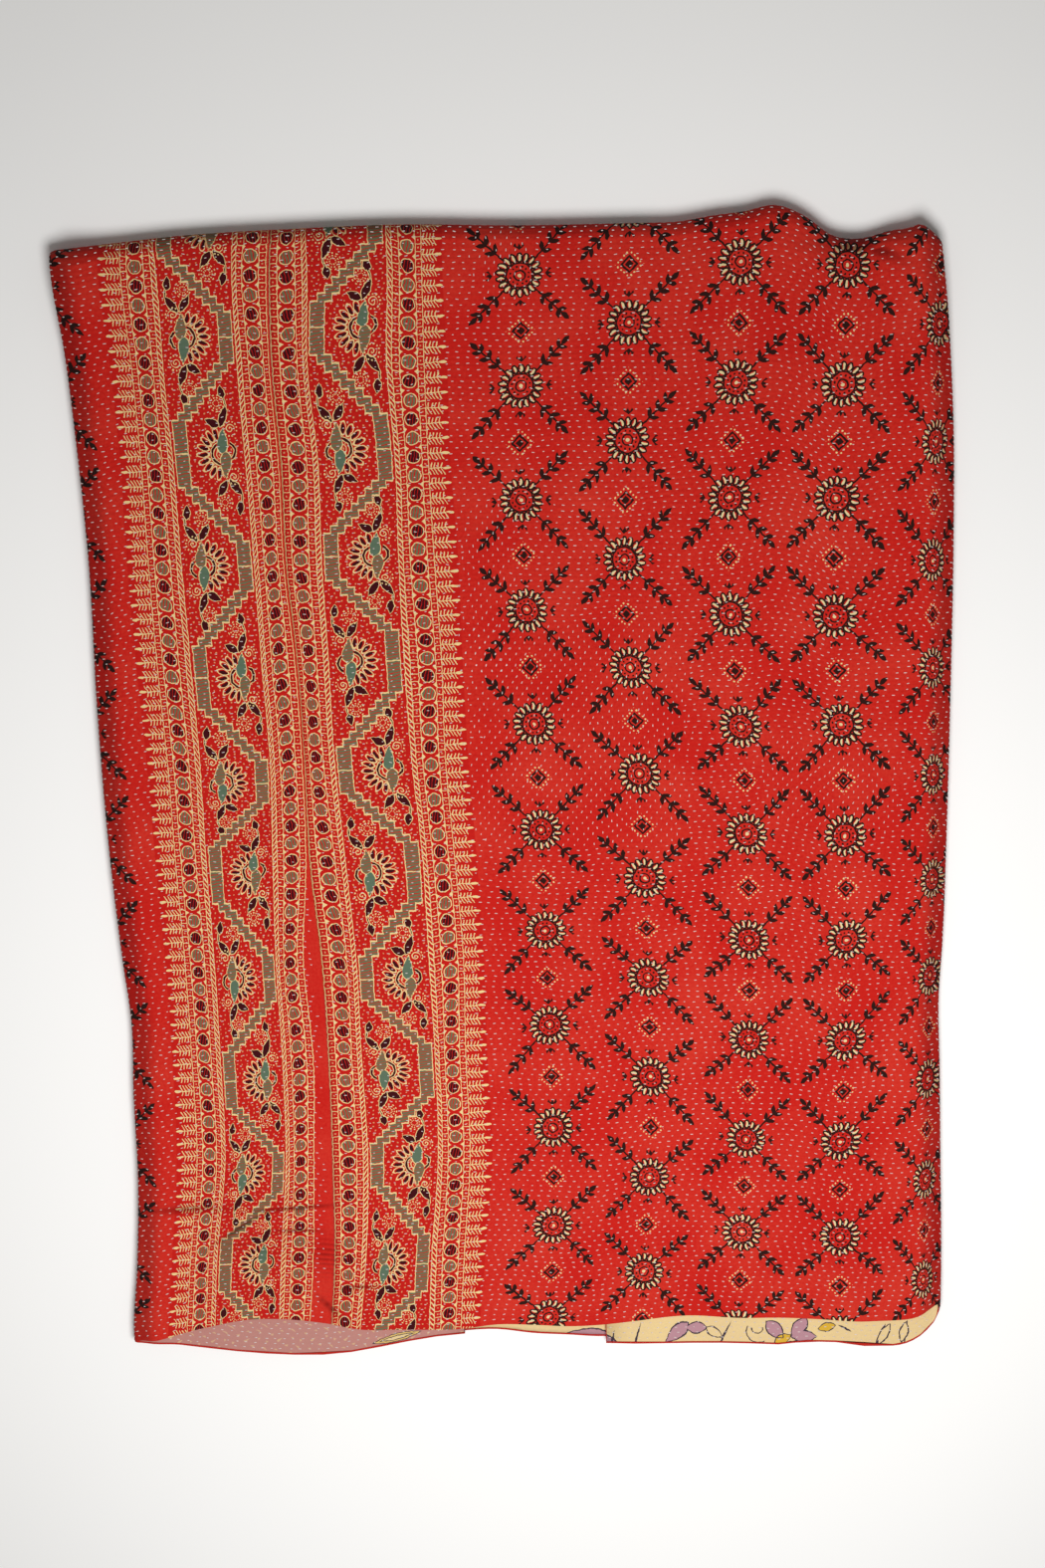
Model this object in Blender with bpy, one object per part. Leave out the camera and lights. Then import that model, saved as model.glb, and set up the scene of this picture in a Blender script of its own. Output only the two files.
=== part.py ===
"""Kantha quilt, folded and lying face up: two lengths of printed cotton seamed side by side over a backing.

The flat quilt is about 1.55 x 2.3 m. Its left and right thirds are folded behind, then it is folded in half
over the top edge. X runs across the folded quilt, Y towards its top fold and Z up from the surface it lies on.
Every length below is in millimetres. The meshes are in metres.
"""
from collections import namedtuple
import math

import bmesh
import bpy
import numpy as np

METRE = 0.001

# Cloth: the two plies of the quilt, and the clearance between separate solids.
FACE_PLY = 1.0
BACKING_PLY = 1.0
CLEARANCE = 0.3
SEAM_GAP = 0.3
HEM_TURN = 2.5          # how far the turned edge of the face cloth reaches past the backing

# Folded stack: one half is the front layer with the side flaps under it.
HALF_FLAT = 6.6         # thickness of one half where it lies flat
EDGE_PUFF = 6.0         # extra thickness beside the side folds, which stay puffy
EDGE_PUFF_REACH = 34.0  # distance over which the puff dies away
EDGE_DROP = 5.5         # how much of it is lost again at the fold itself, where the cloth rolls over
EDGE_DROP_REACH = 13.0
EDGE_ROUND = 6.0        # how far a side fold bulges sideways
BETWEEN_HALVES = 1.2
TOP_PUFF = 8.5          # extra height of the roll along the top fold
TOP_PUFF_REACH = 55.0
MIDDLE_SAG = 4.5        # the front sinks between the ends of the two flaps

LEFT_FLAP_END = -79.0   # x of the flaps' free edges
RIGHT_FLAP_END = 72.0

# The folded outline. Sides, by height on the quilt.
Side = namedtuple("Side", "y left right seam")
SIDES = [
    Side(y=600, left=-437, right=416, seam=-234),
    Side(y=535, left=-437, right=418, seam=-234),
    Side(y=470, left=-431, right=425, seam=-233),
    Side(y=380, left=-426, right=431, seam=-231),
    Side(y=260, left=-422, right=433, seam=-229),
    Side(y=110, left=-424, right=432, seam=-220),
    Side(y=-40, left=-422, right=430, seam=-211),
    Side(y=-160, left=-416, right=427, seam=-210),
    Side(y=-215, left=-412, right=424, seam=-210),
    Side(y=-300, left=-415, right=426, seam=-209),
    Side(y=-400, left=-417, right=428, seam=-211),
    Side(y=-500, left=-425, right=430, seam=-215),
    Side(y=-560, left=-432, right=430, seam=-225),
    Side(y=-610, left=-433, right=428, seam=-228),
]

# The top fold, from left to right: it rises in a puff at 250, dips and rises again before the right corner.
Top = namedtuple("Top", "x y")
TOP_FOLD = [
    Top(x=-440, y=561), Top(x=-370, y=567), Top(x=-320, y=571), Top(x=-200, y=575), Top(x=-100, y=576),
    Top(x=10, y=572), Top(x=125, y=571), Top(x=165, y=571), Top(x=200, y=576), Top(x=230, y=579),
    Top(x=257, y=584), Top(x=286, y=573), Top(x=312, y=554), Top(x=337, y=550), Top(x=370, y=557),
    Top(x=387, y=559), Top(x=397, y=562), Top(x=407, y=556), Top(x=416, y=548), Top(x=435, y=542),
]

# The hems: of the front, of the flaps behind it, and of the back half under them.
Hem = namedtuple("Hem", "x front flap back")
HEMS = [
    Hem(x=-440, front=-578, flap=-580, back=-574),
    Hem(x=-391, front=-571, flap=-583, back=-576),
    Hem(x=-357, front=-564, flap=-589, back=-580),
    Hem(x=-310, front=-556, flap=-596, back=-586),
    Hem(x=-280, front=-556, flap=-599, back=-589),
    Hem(x=-226, front=-563, flap=-601, back=-591),
    Hem(x=-193, front=-571, flap=-598, back=-589),
    Hem(x=-150, front=-573, flap=-590, back=-584),
    Hem(x=-90, front=-574, flap=-582, back=-582),
    Hem(x=-45, front=-571, flap=-582, back=-581),
    Hem(x=-5, front=-574, flap=-590, back=-587),
    Hem(x=32, front=-576, flap=-595, back=-590),
    Hem(x=66, front=-574, flap=-597, back=-593),
    Hem(x=100, front=-571, flap=-599, back=-592),
    Hem(x=160, front=-566, flap=-600, back=-592),
    Hem(x=215, front=-571, flap=-602, back=-594),
    Hem(x=260, front=-572, flap=-605, back=-596),
    Hem(x=300, front=-575, flap=-602, back=-594),
    Hem(x=355, front=-579, flap=-610, back=-600),
    Hem(x=399, front=-574, flap=-604, back=-592),
    Hem(x=418, front=-566, flap=-590, back=-578),
    Hem(x=440, front=-552, flap=-562, back=-556),
]

# Ridges on the front, where the cloth is a little too long for its place: middle, run, length, width, height.
Ridge = namedtuple("Ridge", "x y angle length width height")
RIDGES = [
    Ridge(x=-262, y=-432, angle=12, length=150, width=22, height=4.0),
    Ridge(x=-226, y=-490, angle=0, length=60, width=14, height=2.5),
    Ridge(x=-115, y=-505, angle=35, length=120, width=24, height=2.5),
    Ridge(x=-345, y=-300, angle=80, length=260, width=34, height=2.5),
    Ridge(x=300, y=470, angle=72, length=150, width=30, height=3.0),
    Ridge(x=385, y=60, angle=88, length=420, width=30, height=2.5),
]
FADE_AT_SIDES = 12.0    # ridges die away within these distances of the folds
FADE_AT_TOP = 40.0

# Where the cloth is creased into facets: shares of the way from a side fold to the seam, or of a flap,
# and shares of the way from the top fold to the hem.
LEFT_FLAP_STEPS = [0.0, 0.14, 0.34, 0.66, 1.0]
RIGHT_FLAP_STEPS = [0.0, 0.025, 0.065, 0.17, 0.305, 0.457, 0.61, 0.84, 1.0]
FOLD_STEPS = 6
LEFT_STEPS = [0.085, 0.2, 0.36, 0.54, 0.72, 0.88, 1.0]
RIGHT_STEPS = [0.0, 0.06, 0.13, 0.2, 0.28, 0.36, 0.44, 0.52, 0.6, 0.68, 0.76, 0.84, 0.905, 0.945, 0.975]
FRONT_ROWS = [1.0, 0.985, 0.955, 0.925, 0.89, 0.85, 0.79, 0.7, 0.58, 0.45, 0.32, 0.2, 0.12, 0.065, 0.028]
TURN_STEPS = 8
BACK_ROWS = [0.03, 0.07, 0.14, 0.28, 0.44, 0.6, 0.76, 0.9, 1.0]

Colour = namedtuple("Colour", "red green blue")
FACE_RED = Colour(0.58, 0.02, 0.02)
BACKING_CREAM = Colour(0.78, 0.58, 0.32)


def smooth_curve(rows, along, column, at):
    """Smooth value of one column of a table at a place along it (a cubic through the rows)."""
    rows = sorted(rows, key=lambda row: getattr(row, along))
    xs = np.array([getattr(row, along) for row in rows], float)
    ys = np.array([getattr(row, column) for row in rows], float)
    slopes = np.gradient(ys, xs)
    at = float(np.clip(at, xs[0], xs[-1]))
    i = int(np.clip(np.searchsorted(xs, at) - 1, 0, len(xs) - 2))
    step = xs[i + 1] - xs[i]
    t = (at - xs[i]) / step
    start = (1 + 2 * t) * (1 - t) ** 2 * ys[i] + t * (1 - t) ** 2 * step * slopes[i]
    end = t * t * (3 - 2 * t) * ys[i + 1] + t * t * (t - 1) * step * slopes[i + 1]
    return start + end


def side(column, y):
    return smooth_curve(SIDES, "y", column, y)


def hem(column, x):
    return smooth_curve(HEMS, "x", column, x)


def top_fold(x):
    return smooth_curve(TOP_FOLD, "x", "y", x)


def bell(distance, reach):
    return math.exp(-(distance / reach) ** 2)


def half_thickness(inset):
    """Thickness of one half of the stack at a distance inwards from its nearest side fold."""
    return HALF_FLAT + EDGE_PUFF * bell(inset, EDGE_PUFF_REACH) - EDGE_DROP * bell(inset, EDGE_DROP_REACH)


def ridge_height(x, y):
    """Height of the front's ridges at a place."""
    total = 0.0
    for ridge in RIDGES:
        turn = math.radians(ridge.angle)
        dx, dy = x - ridge.x, y - ridge.y
        along = dx * math.cos(turn) + dy * math.sin(turn)
        across = dy * math.cos(turn) - dx * math.sin(turn)
        total += ridge.height * bell(along, ridge.length / 2) * bell(across, ridge.width)
    return total


def stack_height(x, y, inset):
    """Height of the front above the surface it lies on, without its ridges."""
    middle = (LEFT_FLAP_END + RIGHT_FLAP_END) / 2
    sag_reach = (RIGHT_FLAP_END - LEFT_FLAP_END) / 2
    sunk = MIDDLE_SAG * max(0.0, 1 - ((x - middle) / sag_reach) ** 2) ** 2
    below_fold = top_fold(x) - y
    rise = bell(max(0.0, below_fold - TOP_PUFF_REACH / 2), TOP_PUFF_REACH)
    return 2 * half_thickness(inset) + BETWEEN_HALVES + TOP_PUFF * rise - sunk * (1 - rise)


# Columns of the cloth, from the left flap's free edge round the left fold, over the front and round the right
# fold to the right flap's free edge. turn is 0 on the front and pi on a flap. span says what share is measured.
Column = namedtuple("Column", "span share turn")


def left_columns():
    flap = [Column("left flap", share, math.pi) for share in LEFT_FLAP_STEPS[:0:-1]]
    fold = [Column("left fold", 0.0, math.pi * (1 - i / FOLD_STEPS)) for i in range(FOLD_STEPS + 1)]
    return flap + fold + [Column("left front", share, 0.0) for share in LEFT_STEPS]


def right_columns():
    front = [Column("right front", share, 0.0) for share in RIGHT_STEPS]
    fold = [Column("right fold", 0.0, math.pi * i / FOLD_STEPS) for i in range(FOLD_STEPS + 1)]
    return front + fold + [Column("right flap", share, math.pi) for share in RIGHT_FLAP_STEPS[1:]]


def across(column, y):
    """A column's x at a height on the quilt, and its distance in from the nearest side fold."""
    left, right, seam = (side(name, y) for name in ("left", "right", "seam"))
    if column.span == "left flap":
        x = left + EDGE_ROUND + column.share * (LEFT_FLAP_END - left - EDGE_ROUND)
    elif column.span == "left fold":
        x = left + EDGE_ROUND * (1 - math.sin(column.turn))
    elif column.span == "left front":
        x = left + EDGE_ROUND + column.share * (seam - left - EDGE_ROUND)
    elif column.span == "right front":
        x = seam + column.share * (right - EDGE_ROUND - seam)
    elif column.span == "right fold":
        x = right - EDGE_ROUND * (1 - math.sin(column.turn))
    else:
        x = right - EDGE_ROUND - column.share * (right - EDGE_ROUND - RIGHT_FLAP_END)
    return x, max(0.0, min(x - left, right - x) - EDGE_ROUND)


def depth(column, inset):
    """How deep a column lies in its half of the stack: 0 on the front, the half's thickness on a flap."""
    return half_thickness(inset) * (1 - math.cos(column.turn)) / 2


def hem_of(column, x, back_half):
    """Where a column ends. Flaps and front meet smoothly round the side folds."""
    share = (1 - math.cos(column.turn)) / 2
    if back_half:
        return hem("back", x)
    return (1 - share) * hem("front", x) + share * hem("flap", x)


def front_point(column, share):
    """A point of the upper half, at a share of the way from the top fold to the hem."""
    y = 0.0
    for _ in range(3):
        x, inset = across(column, y)
        start = top_fold(x) - stack_height(x, top_fold(x), inset) / 2
        y = start + share * (hem_of(column, x, False) - start)
    x, inset = across(column, y)
    height = stack_height(x, y, inset)
    if column.turn == 0.0:
        fade = 1 - bell(inset, FADE_AT_SIDES) - bell(top_fold(x) - y, FADE_AT_TOP)
        height += ridge_height(x, y) * max(0.0, fade)
    return x, y, height - depth(column, inset)


def turn_point(column, turn):
    """A point on the roll of the top fold."""
    y = top_fold(0)
    for _ in range(3):
        x, inset = across(column, y)
        y = top_fold(x)
    radius = stack_height(x, y, inset) / 2
    reach = radius - depth(column, inset)
    return x, y - radius + reach * math.sin(turn), radius + reach * math.cos(turn)


def back_point(column, share):
    """A point of the lower half, which lies flat on the surface."""
    y = 0.0
    for _ in range(3):
        x, inset = across(column, y)
        start = top_fold(x) - stack_height(x, top_fold(x), inset) / 2
        y = start + share * (hem_of(column, x, True) - start)
    x, inset = across(column, y)
    return x, y, depth(column, inset)


def cloth_points(columns):
    """The cloth's outer side as a grid of points: a row for each step from the front hem to the back hem."""
    grid = []
    for share in FRONT_ROWS:
        grid.append([front_point(column, share) for column in columns])
    for i in range(TURN_STEPS + 1):
        grid.append([turn_point(column, math.pi * i / TURN_STEPS) for column in columns])
    for share in BACK_ROWS:
        grid.append([back_point(column, share) for column in columns])
    return np.array(grid)


def bisector(grid, axis):
    """At each point, the direction halfway between the steps on its two sides, and the cosine of half their turn."""
    step = np.diff(grid, axis=axis)
    step = step / np.linalg.norm(step, axis=2, keepdims=True)
    ends = [np.take(step, [0], axis=axis), np.take(step, [-1], axis=axis)]
    both = np.concatenate([ends[0], step], axis=axis) + np.concatenate([step, ends[1]], axis=axis)
    size = np.linalg.norm(both, axis=2, keepdims=True)
    return both / size, size / 2


def inward(grid):
    """Directions into the cloth at each point, stretched at turns so that plies stay parallel."""
    along, along_turn = bisector(grid, 1)
    down, down_turn = bisector(grid, 0)
    normal = np.cross(down, along)
    normal = normal / np.linalg.norm(normal, axis=2, keepdims=True)
    return normal / (along_turn * down_turn)


def draw_in(grid, distance):
    """Moves all four edges of a sheet's grid inwards along the cloth."""
    for edge, beside in ((0, 1), (-1, -2)):
        step = grid[beside] - grid[edge]
        grid[edge] += step * distance / np.linalg.norm(step, axis=1, keepdims=True)
        step = grid[:, beside] - grid[:, edge]
        grid[:, edge] += step * distance / np.linalg.norm(step, axis=1, keepdims=True)


def ply(name, outer, inner, material):
    """A closed sheet between two grids of points."""
    rows, columns = outer.shape[:2]
    mesh = bpy.data.meshes.new(name)
    bm = bmesh.new()
    top = [[bm.verts.new(p * METRE) for p in row] for row in outer]
    bottom = [[bm.verts.new(p * METRE) for p in row] for row in inner]
    for i in range(rows - 1):
        for j in range(columns - 1):
            bm.faces.new((top[i][j], top[i + 1][j], top[i + 1][j + 1]))
            bm.faces.new((top[i][j], top[i + 1][j + 1], top[i][j + 1]))
            bm.faces.new((bottom[i][j], bottom[i + 1][j + 1], bottom[i + 1][j]))
            bm.faces.new((bottom[i][j], bottom[i][j + 1], bottom[i + 1][j + 1]))
    rim = [(0, j) for j in range(columns)] + [(i, columns - 1) for i in range(1, rows)]
    rim += [(rows - 1, j) for j in range(columns - 2, -1, -1)] + [(i, 0) for i in range(rows - 2, 0, -1)]
    for here, there in zip(rim, rim[1:] + rim[:1]):
        a, b = top[here[0]][here[1]], top[there[0]][there[1]]
        c, d = bottom[there[0]][there[1]], bottom[here[0]][here[1]]
        bm.faces.new((a, b, c))
        bm.faces.new((a, c, d))
    bmesh.ops.recalc_face_normals(bm, faces=bm.faces)
    bm.to_mesh(mesh)
    bm.free()
    mesh.shade_smooth()
    mesh.set_sharp_from_angle(angle=math.radians(50))
    mesh.materials.append(material)
    thing = bpy.data.objects.new(name, mesh)
    bpy.context.scene.collection.objects.link(thing)
    return thing


def cotton(name, colour):
    """Soft worn cotton: rough, with no metal."""
    material = bpy.data.materials.new(name)
    material.use_nodes = True
    shader = material.node_tree.nodes["Principled BSDF"]
    shader.inputs["Base Color"].default_value = (*colour, 1.0)
    shader.inputs["Roughness"].default_value = 0.9
    shader.inputs["Metallic"].default_value = 0.0
    return material


def main():
    for thing in list(bpy.data.objects):
        bpy.data.objects.remove(thing, do_unlink=True)
    face_cotton = cotton("printed_cotton", FACE_RED)
    backing_cotton = cotton("backing_cotton", BACKING_CREAM)

    left = cloth_points(left_columns())
    right = cloth_points(right_columns())
    seam_column = left.shape[1] - 1
    whole = np.concatenate([left, right[:, 1:]], axis=1)
    into = inward(whole)
    box_middle = (whole.min(axis=(0, 1)) + whole.max(axis=(0, 1))) / 2
    whole = whole - np.array([box_middle[0], box_middle[1], 0.0])

    face_inner = whole + into * FACE_PLY
    half_gap = np.array([SEAM_GAP / 2, 0.0, 0.0])
    left_outer, left_inner = whole[:, :seam_column + 1].copy(), face_inner[:, :seam_column + 1].copy()
    right_outer, right_inner = whole[:, seam_column:].copy(), face_inner[:, seam_column:].copy()
    for sheet in (left_outer, left_inner):
        sheet[:, -1] -= half_gap
    for sheet in (right_outer, right_inner):
        sheet[:, 0] += half_gap
    ply("face_panel_left", left_outer, left_inner, face_cotton)
    ply("face_panel_right", right_outer, right_inner, face_cotton)

    backing_outer = whole + into * (FACE_PLY + CLEARANCE)
    backing_inner = whole + into * (FACE_PLY + CLEARANCE + BACKING_PLY)
    for sheet in (backing_outer, backing_inner):
        draw_in(sheet, HEM_TURN)
    ply("backing", backing_outer, backing_inner, backing_cotton)


if __name__ == "__main__":
    main()
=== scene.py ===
"""Kantha quilt, folded and lying face up: printed face panels, backing and running stitches.

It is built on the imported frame. Lengths are in millimetres unless a name says otherwise, and meshes are
written in metres.
X runs across the folded quilt, Y towards its top fold and Z up.
"""
import ast
from collections import namedtuple
from functools import reduce
import math

import bpy
from bpy.props import FloatProperty, FloatVectorProperty, PointerProperty
from mathutils import Matrix, Vector
import numpy as np


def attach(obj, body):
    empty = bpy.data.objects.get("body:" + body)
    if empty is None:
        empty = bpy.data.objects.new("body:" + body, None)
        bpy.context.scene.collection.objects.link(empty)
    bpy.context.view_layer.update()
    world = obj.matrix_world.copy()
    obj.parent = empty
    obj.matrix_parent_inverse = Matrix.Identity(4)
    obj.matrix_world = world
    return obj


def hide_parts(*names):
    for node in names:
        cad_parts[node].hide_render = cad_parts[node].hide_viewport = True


bl_info = {
    "name": "Kantha quilt",
    "version": (1, 0, 0),
    "blender": (4, 5, 0),
    "location": "View3D > Sidebar > Quilt",
    "description": "Builds a folded kantha quilt with its print and its stitches",
    "category": "Add Mesh",
}

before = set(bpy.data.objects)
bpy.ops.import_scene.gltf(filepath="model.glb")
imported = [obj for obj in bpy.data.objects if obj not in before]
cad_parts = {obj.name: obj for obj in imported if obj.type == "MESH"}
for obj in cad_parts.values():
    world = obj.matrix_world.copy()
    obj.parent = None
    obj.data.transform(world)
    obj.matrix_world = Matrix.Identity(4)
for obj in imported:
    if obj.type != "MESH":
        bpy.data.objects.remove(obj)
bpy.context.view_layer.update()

METRE = 0.001
TAU = 2 * math.pi
TABLE_MIDDLE = (-2.584, -14.081)     # what the tables below call the middle of the folded quilt

# Plies, as the solids have them.
FACE_PLY = 1.0
BACKING_OUTER, BACKING_INNER = 1.3, 2.3     # depths of the backing's two sides under the face's outer side
HEM_SETBACK = 0.8       # how far the backing stops short of the turned hem
BACKING_RIPPLE = 0.7    # share of the face's ripple that the backing has
SEAM_GAP = 0.3          # the two panels lie edge to edge

# Folded stack: half its thickness on each of its halves, how it puffs up beside the side folds and drops at
# them, how far they bulge, the gap between its halves, how the top puffs up, how the middle sags between the
# flaps, and where the flaps end.
HALF_FLAT = 6.6
EDGE_PUFF, EDGE_PUFF_REACH = 6.0, 34.0
EDGE_DROP, EDGE_DROP_REACH, EDGE_ROUND = 5.5, 13.0, 6.0
BETWEEN_HALVES = 1.2
TOP_PUFF, TOP_PUFF_REACH = 8.5, 55.0
MIDDLE_SAG = 4.5
LEFT_FLAP_END, RIGHT_FLAP_END = -79.0, 72.0

# Outline of the folded quilt: its sides by height, its top fold and its hems by place across.
SIDES = {
    "y": [600, 535, 470, 380, 260, 110, -40, -160, -215, -300, -400, -500, -560, -610],
    "left": [-437, -437, -431, -426, -422, -424, -422, -416, -412, -415, -417, -425, -432, -433],
    "right": [416, 418, 425, 431, 433, 432, 430, 427, 424, 426, 428, 430, 430, 428],
}
TOP_FOLD = {
    "x": [-440, -370, -320, -200, -100, 10, 125, 165, 200, 230,
          257, 286, 312, 337, 370, 387, 397, 407, 416, 435],
    "y": [561, 567, 571, 575, 576, 572, 571, 571, 576, 579, 584, 573, 554, 550, 557, 559, 562, 556, 548, 542],
}
HEMS = {
    "x": [-440, -391, -357, -310, -280, -226, -193, -150, -90, -45, -5, 32, 66, 100, 160, 215, 260, 300,
          355, 399, 418, 440],
    "front": [-578, -571, -564, -556, -556, -563, -571, -573, -574, -571, -574, -576, -574, -571, -566,
              -571, -572, -575, -579, -574, -566, -552],
    "flap": [-580, -583, -589, -596, -599, -601, -598, -590, -582, -582, -590, -595, -597, -599, -600,
             -602, -605, -602, -610, -604, -590, -562],
    "back": [-574, -576, -580, -586, -589, -591, -589, -584, -582, -581, -587, -590, -593, -592, -592,
             -594, -596, -594, -600, -592, -578, -556],
}

# Ridges of the front: middle, direction, length, width and height.
Ridge = namedtuple("Ridge", "x y angle length width height")
RIDGES = [
    Ridge(-262, -432, 12, 150, 22, 4.0),
    Ridge(-226, -490, 0, 60, 14, 2.5),
    Ridge(-115, -505, 35, 120, 24, 2.5),
    Ridge(-345, -300, 80, 260, 34, 2.5),
    Ridge(300, 470, 72, 150, 30, 3.0),
    Ridge(385, 60, 88, 420, 30, 2.5),
]

# Creases pressed into the front, in the same columns: troughs where the height is negative. Painted shade
# darkens the troughs.
CREASES = [
    Ridge(-312, -450, 33, 62, 2.2, -2.4),
    Ridge(-254, -429, 3, 84, 2.1, -2.2),
    Ridge(-365, -427, -2, 70, 4.0, -1.6),
    Ridge(-330, -408, 10, 100, 9.0, 1.6),
    Ridge(-252, -456, -2, 42, 2.1, -1.8),
    Ridge(-188, -523, 0, 36, 2.1, -2.0),
    Ridge(-222, -545, -48, 34, 2.6, -1.8),
    Ridge(322, 545, -3, 62, 8.0, -1.4),
    Ridge(354, 541, -24, 52, 5.5, -3.2),
    Ridge(384, 549, -8, 40, 7.0, 2.0),
]
TROUGHS = [crease for crease in CREASES if crease.height < 0]
# Creases die away within this distance of the folds, and ridges and swells within these of the side folds
# and the top.
CREASE_FADE, SOFT_SIDE_FADE, SOFT_TOP_FADE = 9.0, 12.0, 40.0
BROAD_SWELL, SMALL_SWELL = 0.55, 0.35     # heights of the swells of the front
# Shade painted into the creases and wrinkles, by their depth.
CREASE_PAINTED_SHADE, PUCKER_PAINTED_SHADE = 0.5, 1.2     # how dark a millimetre of depth makes a crease and a wrinkle
UNDER_CREASE = 7.0     # coarser sides sink this much wider under each crease, to stay clear of the outer side
# Painted shade along the folds: how dark it is and how far it reaches, on the side folds, by the top fold, in
# a shade below the top, and in a shade along the left side, which starts and grows to full at these heights,
# and the most painted shade in a crease.
Soil = namedtuple("Soil", "share reach")
SIDE_PAINTED_SHADE, TOP_PAINTED_SHADE, TOP_SHADE, LEFT_SHADE = Soil(0.55, 11), Soil(0.32, 8), Soil(0.08, 90), Soil(0.12, 50)
LEFT_SHADE_FROM, LEFT_SHADE_FULL, MOST_CREASE_PAINTED_SHADE = -350.0, 100.0, 0.9
# Small close wrinkles where the cloth is gathered: middle, half sizes, spacing and height.
Pucker = namedtuple("Pucker", "x y half_width half_height spacing height")
PUCKERS = [Pucker(-223, -484, 17, 18, 5.6, 0.55), Pucker(-300, -470, 40, 16, 7.0, 0.35)]
PUCKER_SLANT = 0.1     # how steeply the wrinkles run down to the right

# Places on the printed cloth, counted from the tips of the fern border towards the seam: the ferns' rail, the
# middle of the rings, the ropes on both sides of the garland, the further rings, and the seam.
RAIL, RINGS, ROPE, FAR_ROPE, FAR_RINGS, SEAM = 22.25, 37.5, 59.75, 129.75, 151.75, 167.0
# The print's guide lines. p is a line's place, and x is where it runs on the folded quilt, at GUIDE_HEIGHTS.
# heights are those of its motifs, from the top, and the first of them is at first_q along the print.
GUIDE_HEIGHTS = [575, 539, 445, 350, 253, 153, 52, -51, -157, -265, -375, -487, -585]
Guide = namedtuple("Guide", "p x heights first_q pitch", defaults=((540, -540), 540, 1080))
LEFT_FANS = [475, 364, 252, 141, 31, -60, -176, -286, -390, -492]
RIGHT_FANS = [482, 363, 259, 153, 42, -66, -180, -280, -383, -497]
FIRST_FAN, FAN_PITCH = 475, 107.5
LEFT_GUIDES = [
    Guide(0, [-390, -391, -386, -383, -383, -381, -377, -375, -372, -371, -374, -386, -397]),
    Guide(RINGS, [-355, -356, -353, -350, -349, -347, -343, -342, -339, -338, -339, -354, -364]),
    Guide(ROPE, [-336, -334, -334, -330, -328, -325, -322, -322, -320, -320, -322, -337, -345],
          LEFT_FANS, FIRST_FAN, FAN_PITCH),
    Guide(FAR_ROPE, [-263, -265, -266, -263, -260, -258, -255, -258, -260, -259, -261, -272, -280],
          LEFT_FANS, FIRST_FAN, FAN_PITCH),
    Guide(FAR_RINGS, [-242, -247, -245, -243, -241, -239, -236, -237, -245, -242, -245, -252, -262]),
    Guide(SEAM, [-227, -230, -233, -229, -229, -223, -221, -222, -230, -225, -230, -236, -246]),
]
RIGHT_GUIDES = [
    Guide(SEAM, [-225, -228, -231, -227, -227, -221, -219, -219, -212, -210, -211, -214, -223]),
    Guide(FAR_RINGS, [-209, -211, -213, -210, -213, -210, -208, -201, -193, -193, -194, -199, -209]),
    Guide(FAR_ROPE, [-190, -190, -195, -189, -190, -188, -187, -181, -175, -174, -172, -179, -191],
          RIGHT_FANS, FIRST_FAN, FAN_PITCH),
    Guide(ROPE, [-117, -117, -122, -117, -118, -117, -113, -106, -104, -101, -102, -113, -120],
          RIGHT_FANS, FIRST_FAN, FAN_PITCH),
    Guide(RINGS, [-95, -95, -98, -97, -96, -91, -92, -86, -80, -82, -82, -91, -97]),
    Guide(0, [-61, -62, -61, -61, -57, -56, -54, -49, -45, -45, -43, -54, -64]),
]
# Columns of rosettes: x as above, heights of the rosettes, and the first one's place along the print.
FIRST_COLUMN, COLUMN_PITCH, REPEAT = -68.0, 104.5, 110.0
RosetteColumn = namedtuple("RosetteColumn", "x heights first_q")
ROSETTE_COLUMNS = [
    RosetteColumn([12, 12, 11, 7, 8, 11, 15, 18, 19, 21, 21, 18, 9],
                  [525, 420, 309, 200, 83, -27, -134, -235, -350, -460, -565], 525),
    RosetteColumn([118, 117, 115, 112, 107, 110, 117, 121, 123, 124, 123, 115, 110],
                  [478, 365, 247, 139, 30, -80, -186, -294, -407, -514], 470),
    RosetteColumn([225, 224, 221, 214, 210, 214, 223, 227, 228, 227, 223, 217, 213],
                  [532, 417, 306, 189, 75, -37, -150, -258, -368, -472], 525),
    RosetteColumn([327, 326, 324, 319, 314, 316, 323, 326, 328, 327, 322, 322, 322],
                  [526, 412, 302, 184, 74, -42, -153, -262, -374, -482], 525),
    RosetteColumn([413, 414, 415, 413, 411, 412, 414, 415, 414, 413, 412, 410, 410],
                  [468, 355, 238, 131, 21, -89, -192, -305, -416, -530], 470),
]
RIGHT_GUIDES += [Guide(FIRST_COLUMN - COLUMN_PITCH * n, *column, REPEAT)
                 for n, column in enumerate(ROSETTE_COLUMNS)]
# From this column on, the right panel's cloth is spread evenly up to its fold, and this share of its print is
# squeezed towards the fold.
LAST_PRINT_COLUMN = RIGHT_GUIDES[-2].p
SQUEEZE, SQUEEZE_POWER = 0.17, 4
LEFT_FIELD_SHIFT = (-0.5, -2.5)     # how far the left panel's sprigs lie from the right panel's places
TURNED_PRINT = 735.0     # the left panel's print runs the other way, from this place down
# Sizes that the prints' arithmetic knows by name.
PRINT_SIZES = {
    "first": FIRST_COLUMN, "pitch": COLUMN_PITCH, "repeat": REPEAT, "half_repeat": REPEAT / 2,
    "fan_pitch": FAN_PITCH, "fan_repeat": 2 * FAN_PITCH, "fan": FIRST_FAN - FAN_PITCH,
    "turned_at": TURNED_PRINT,
}


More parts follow.
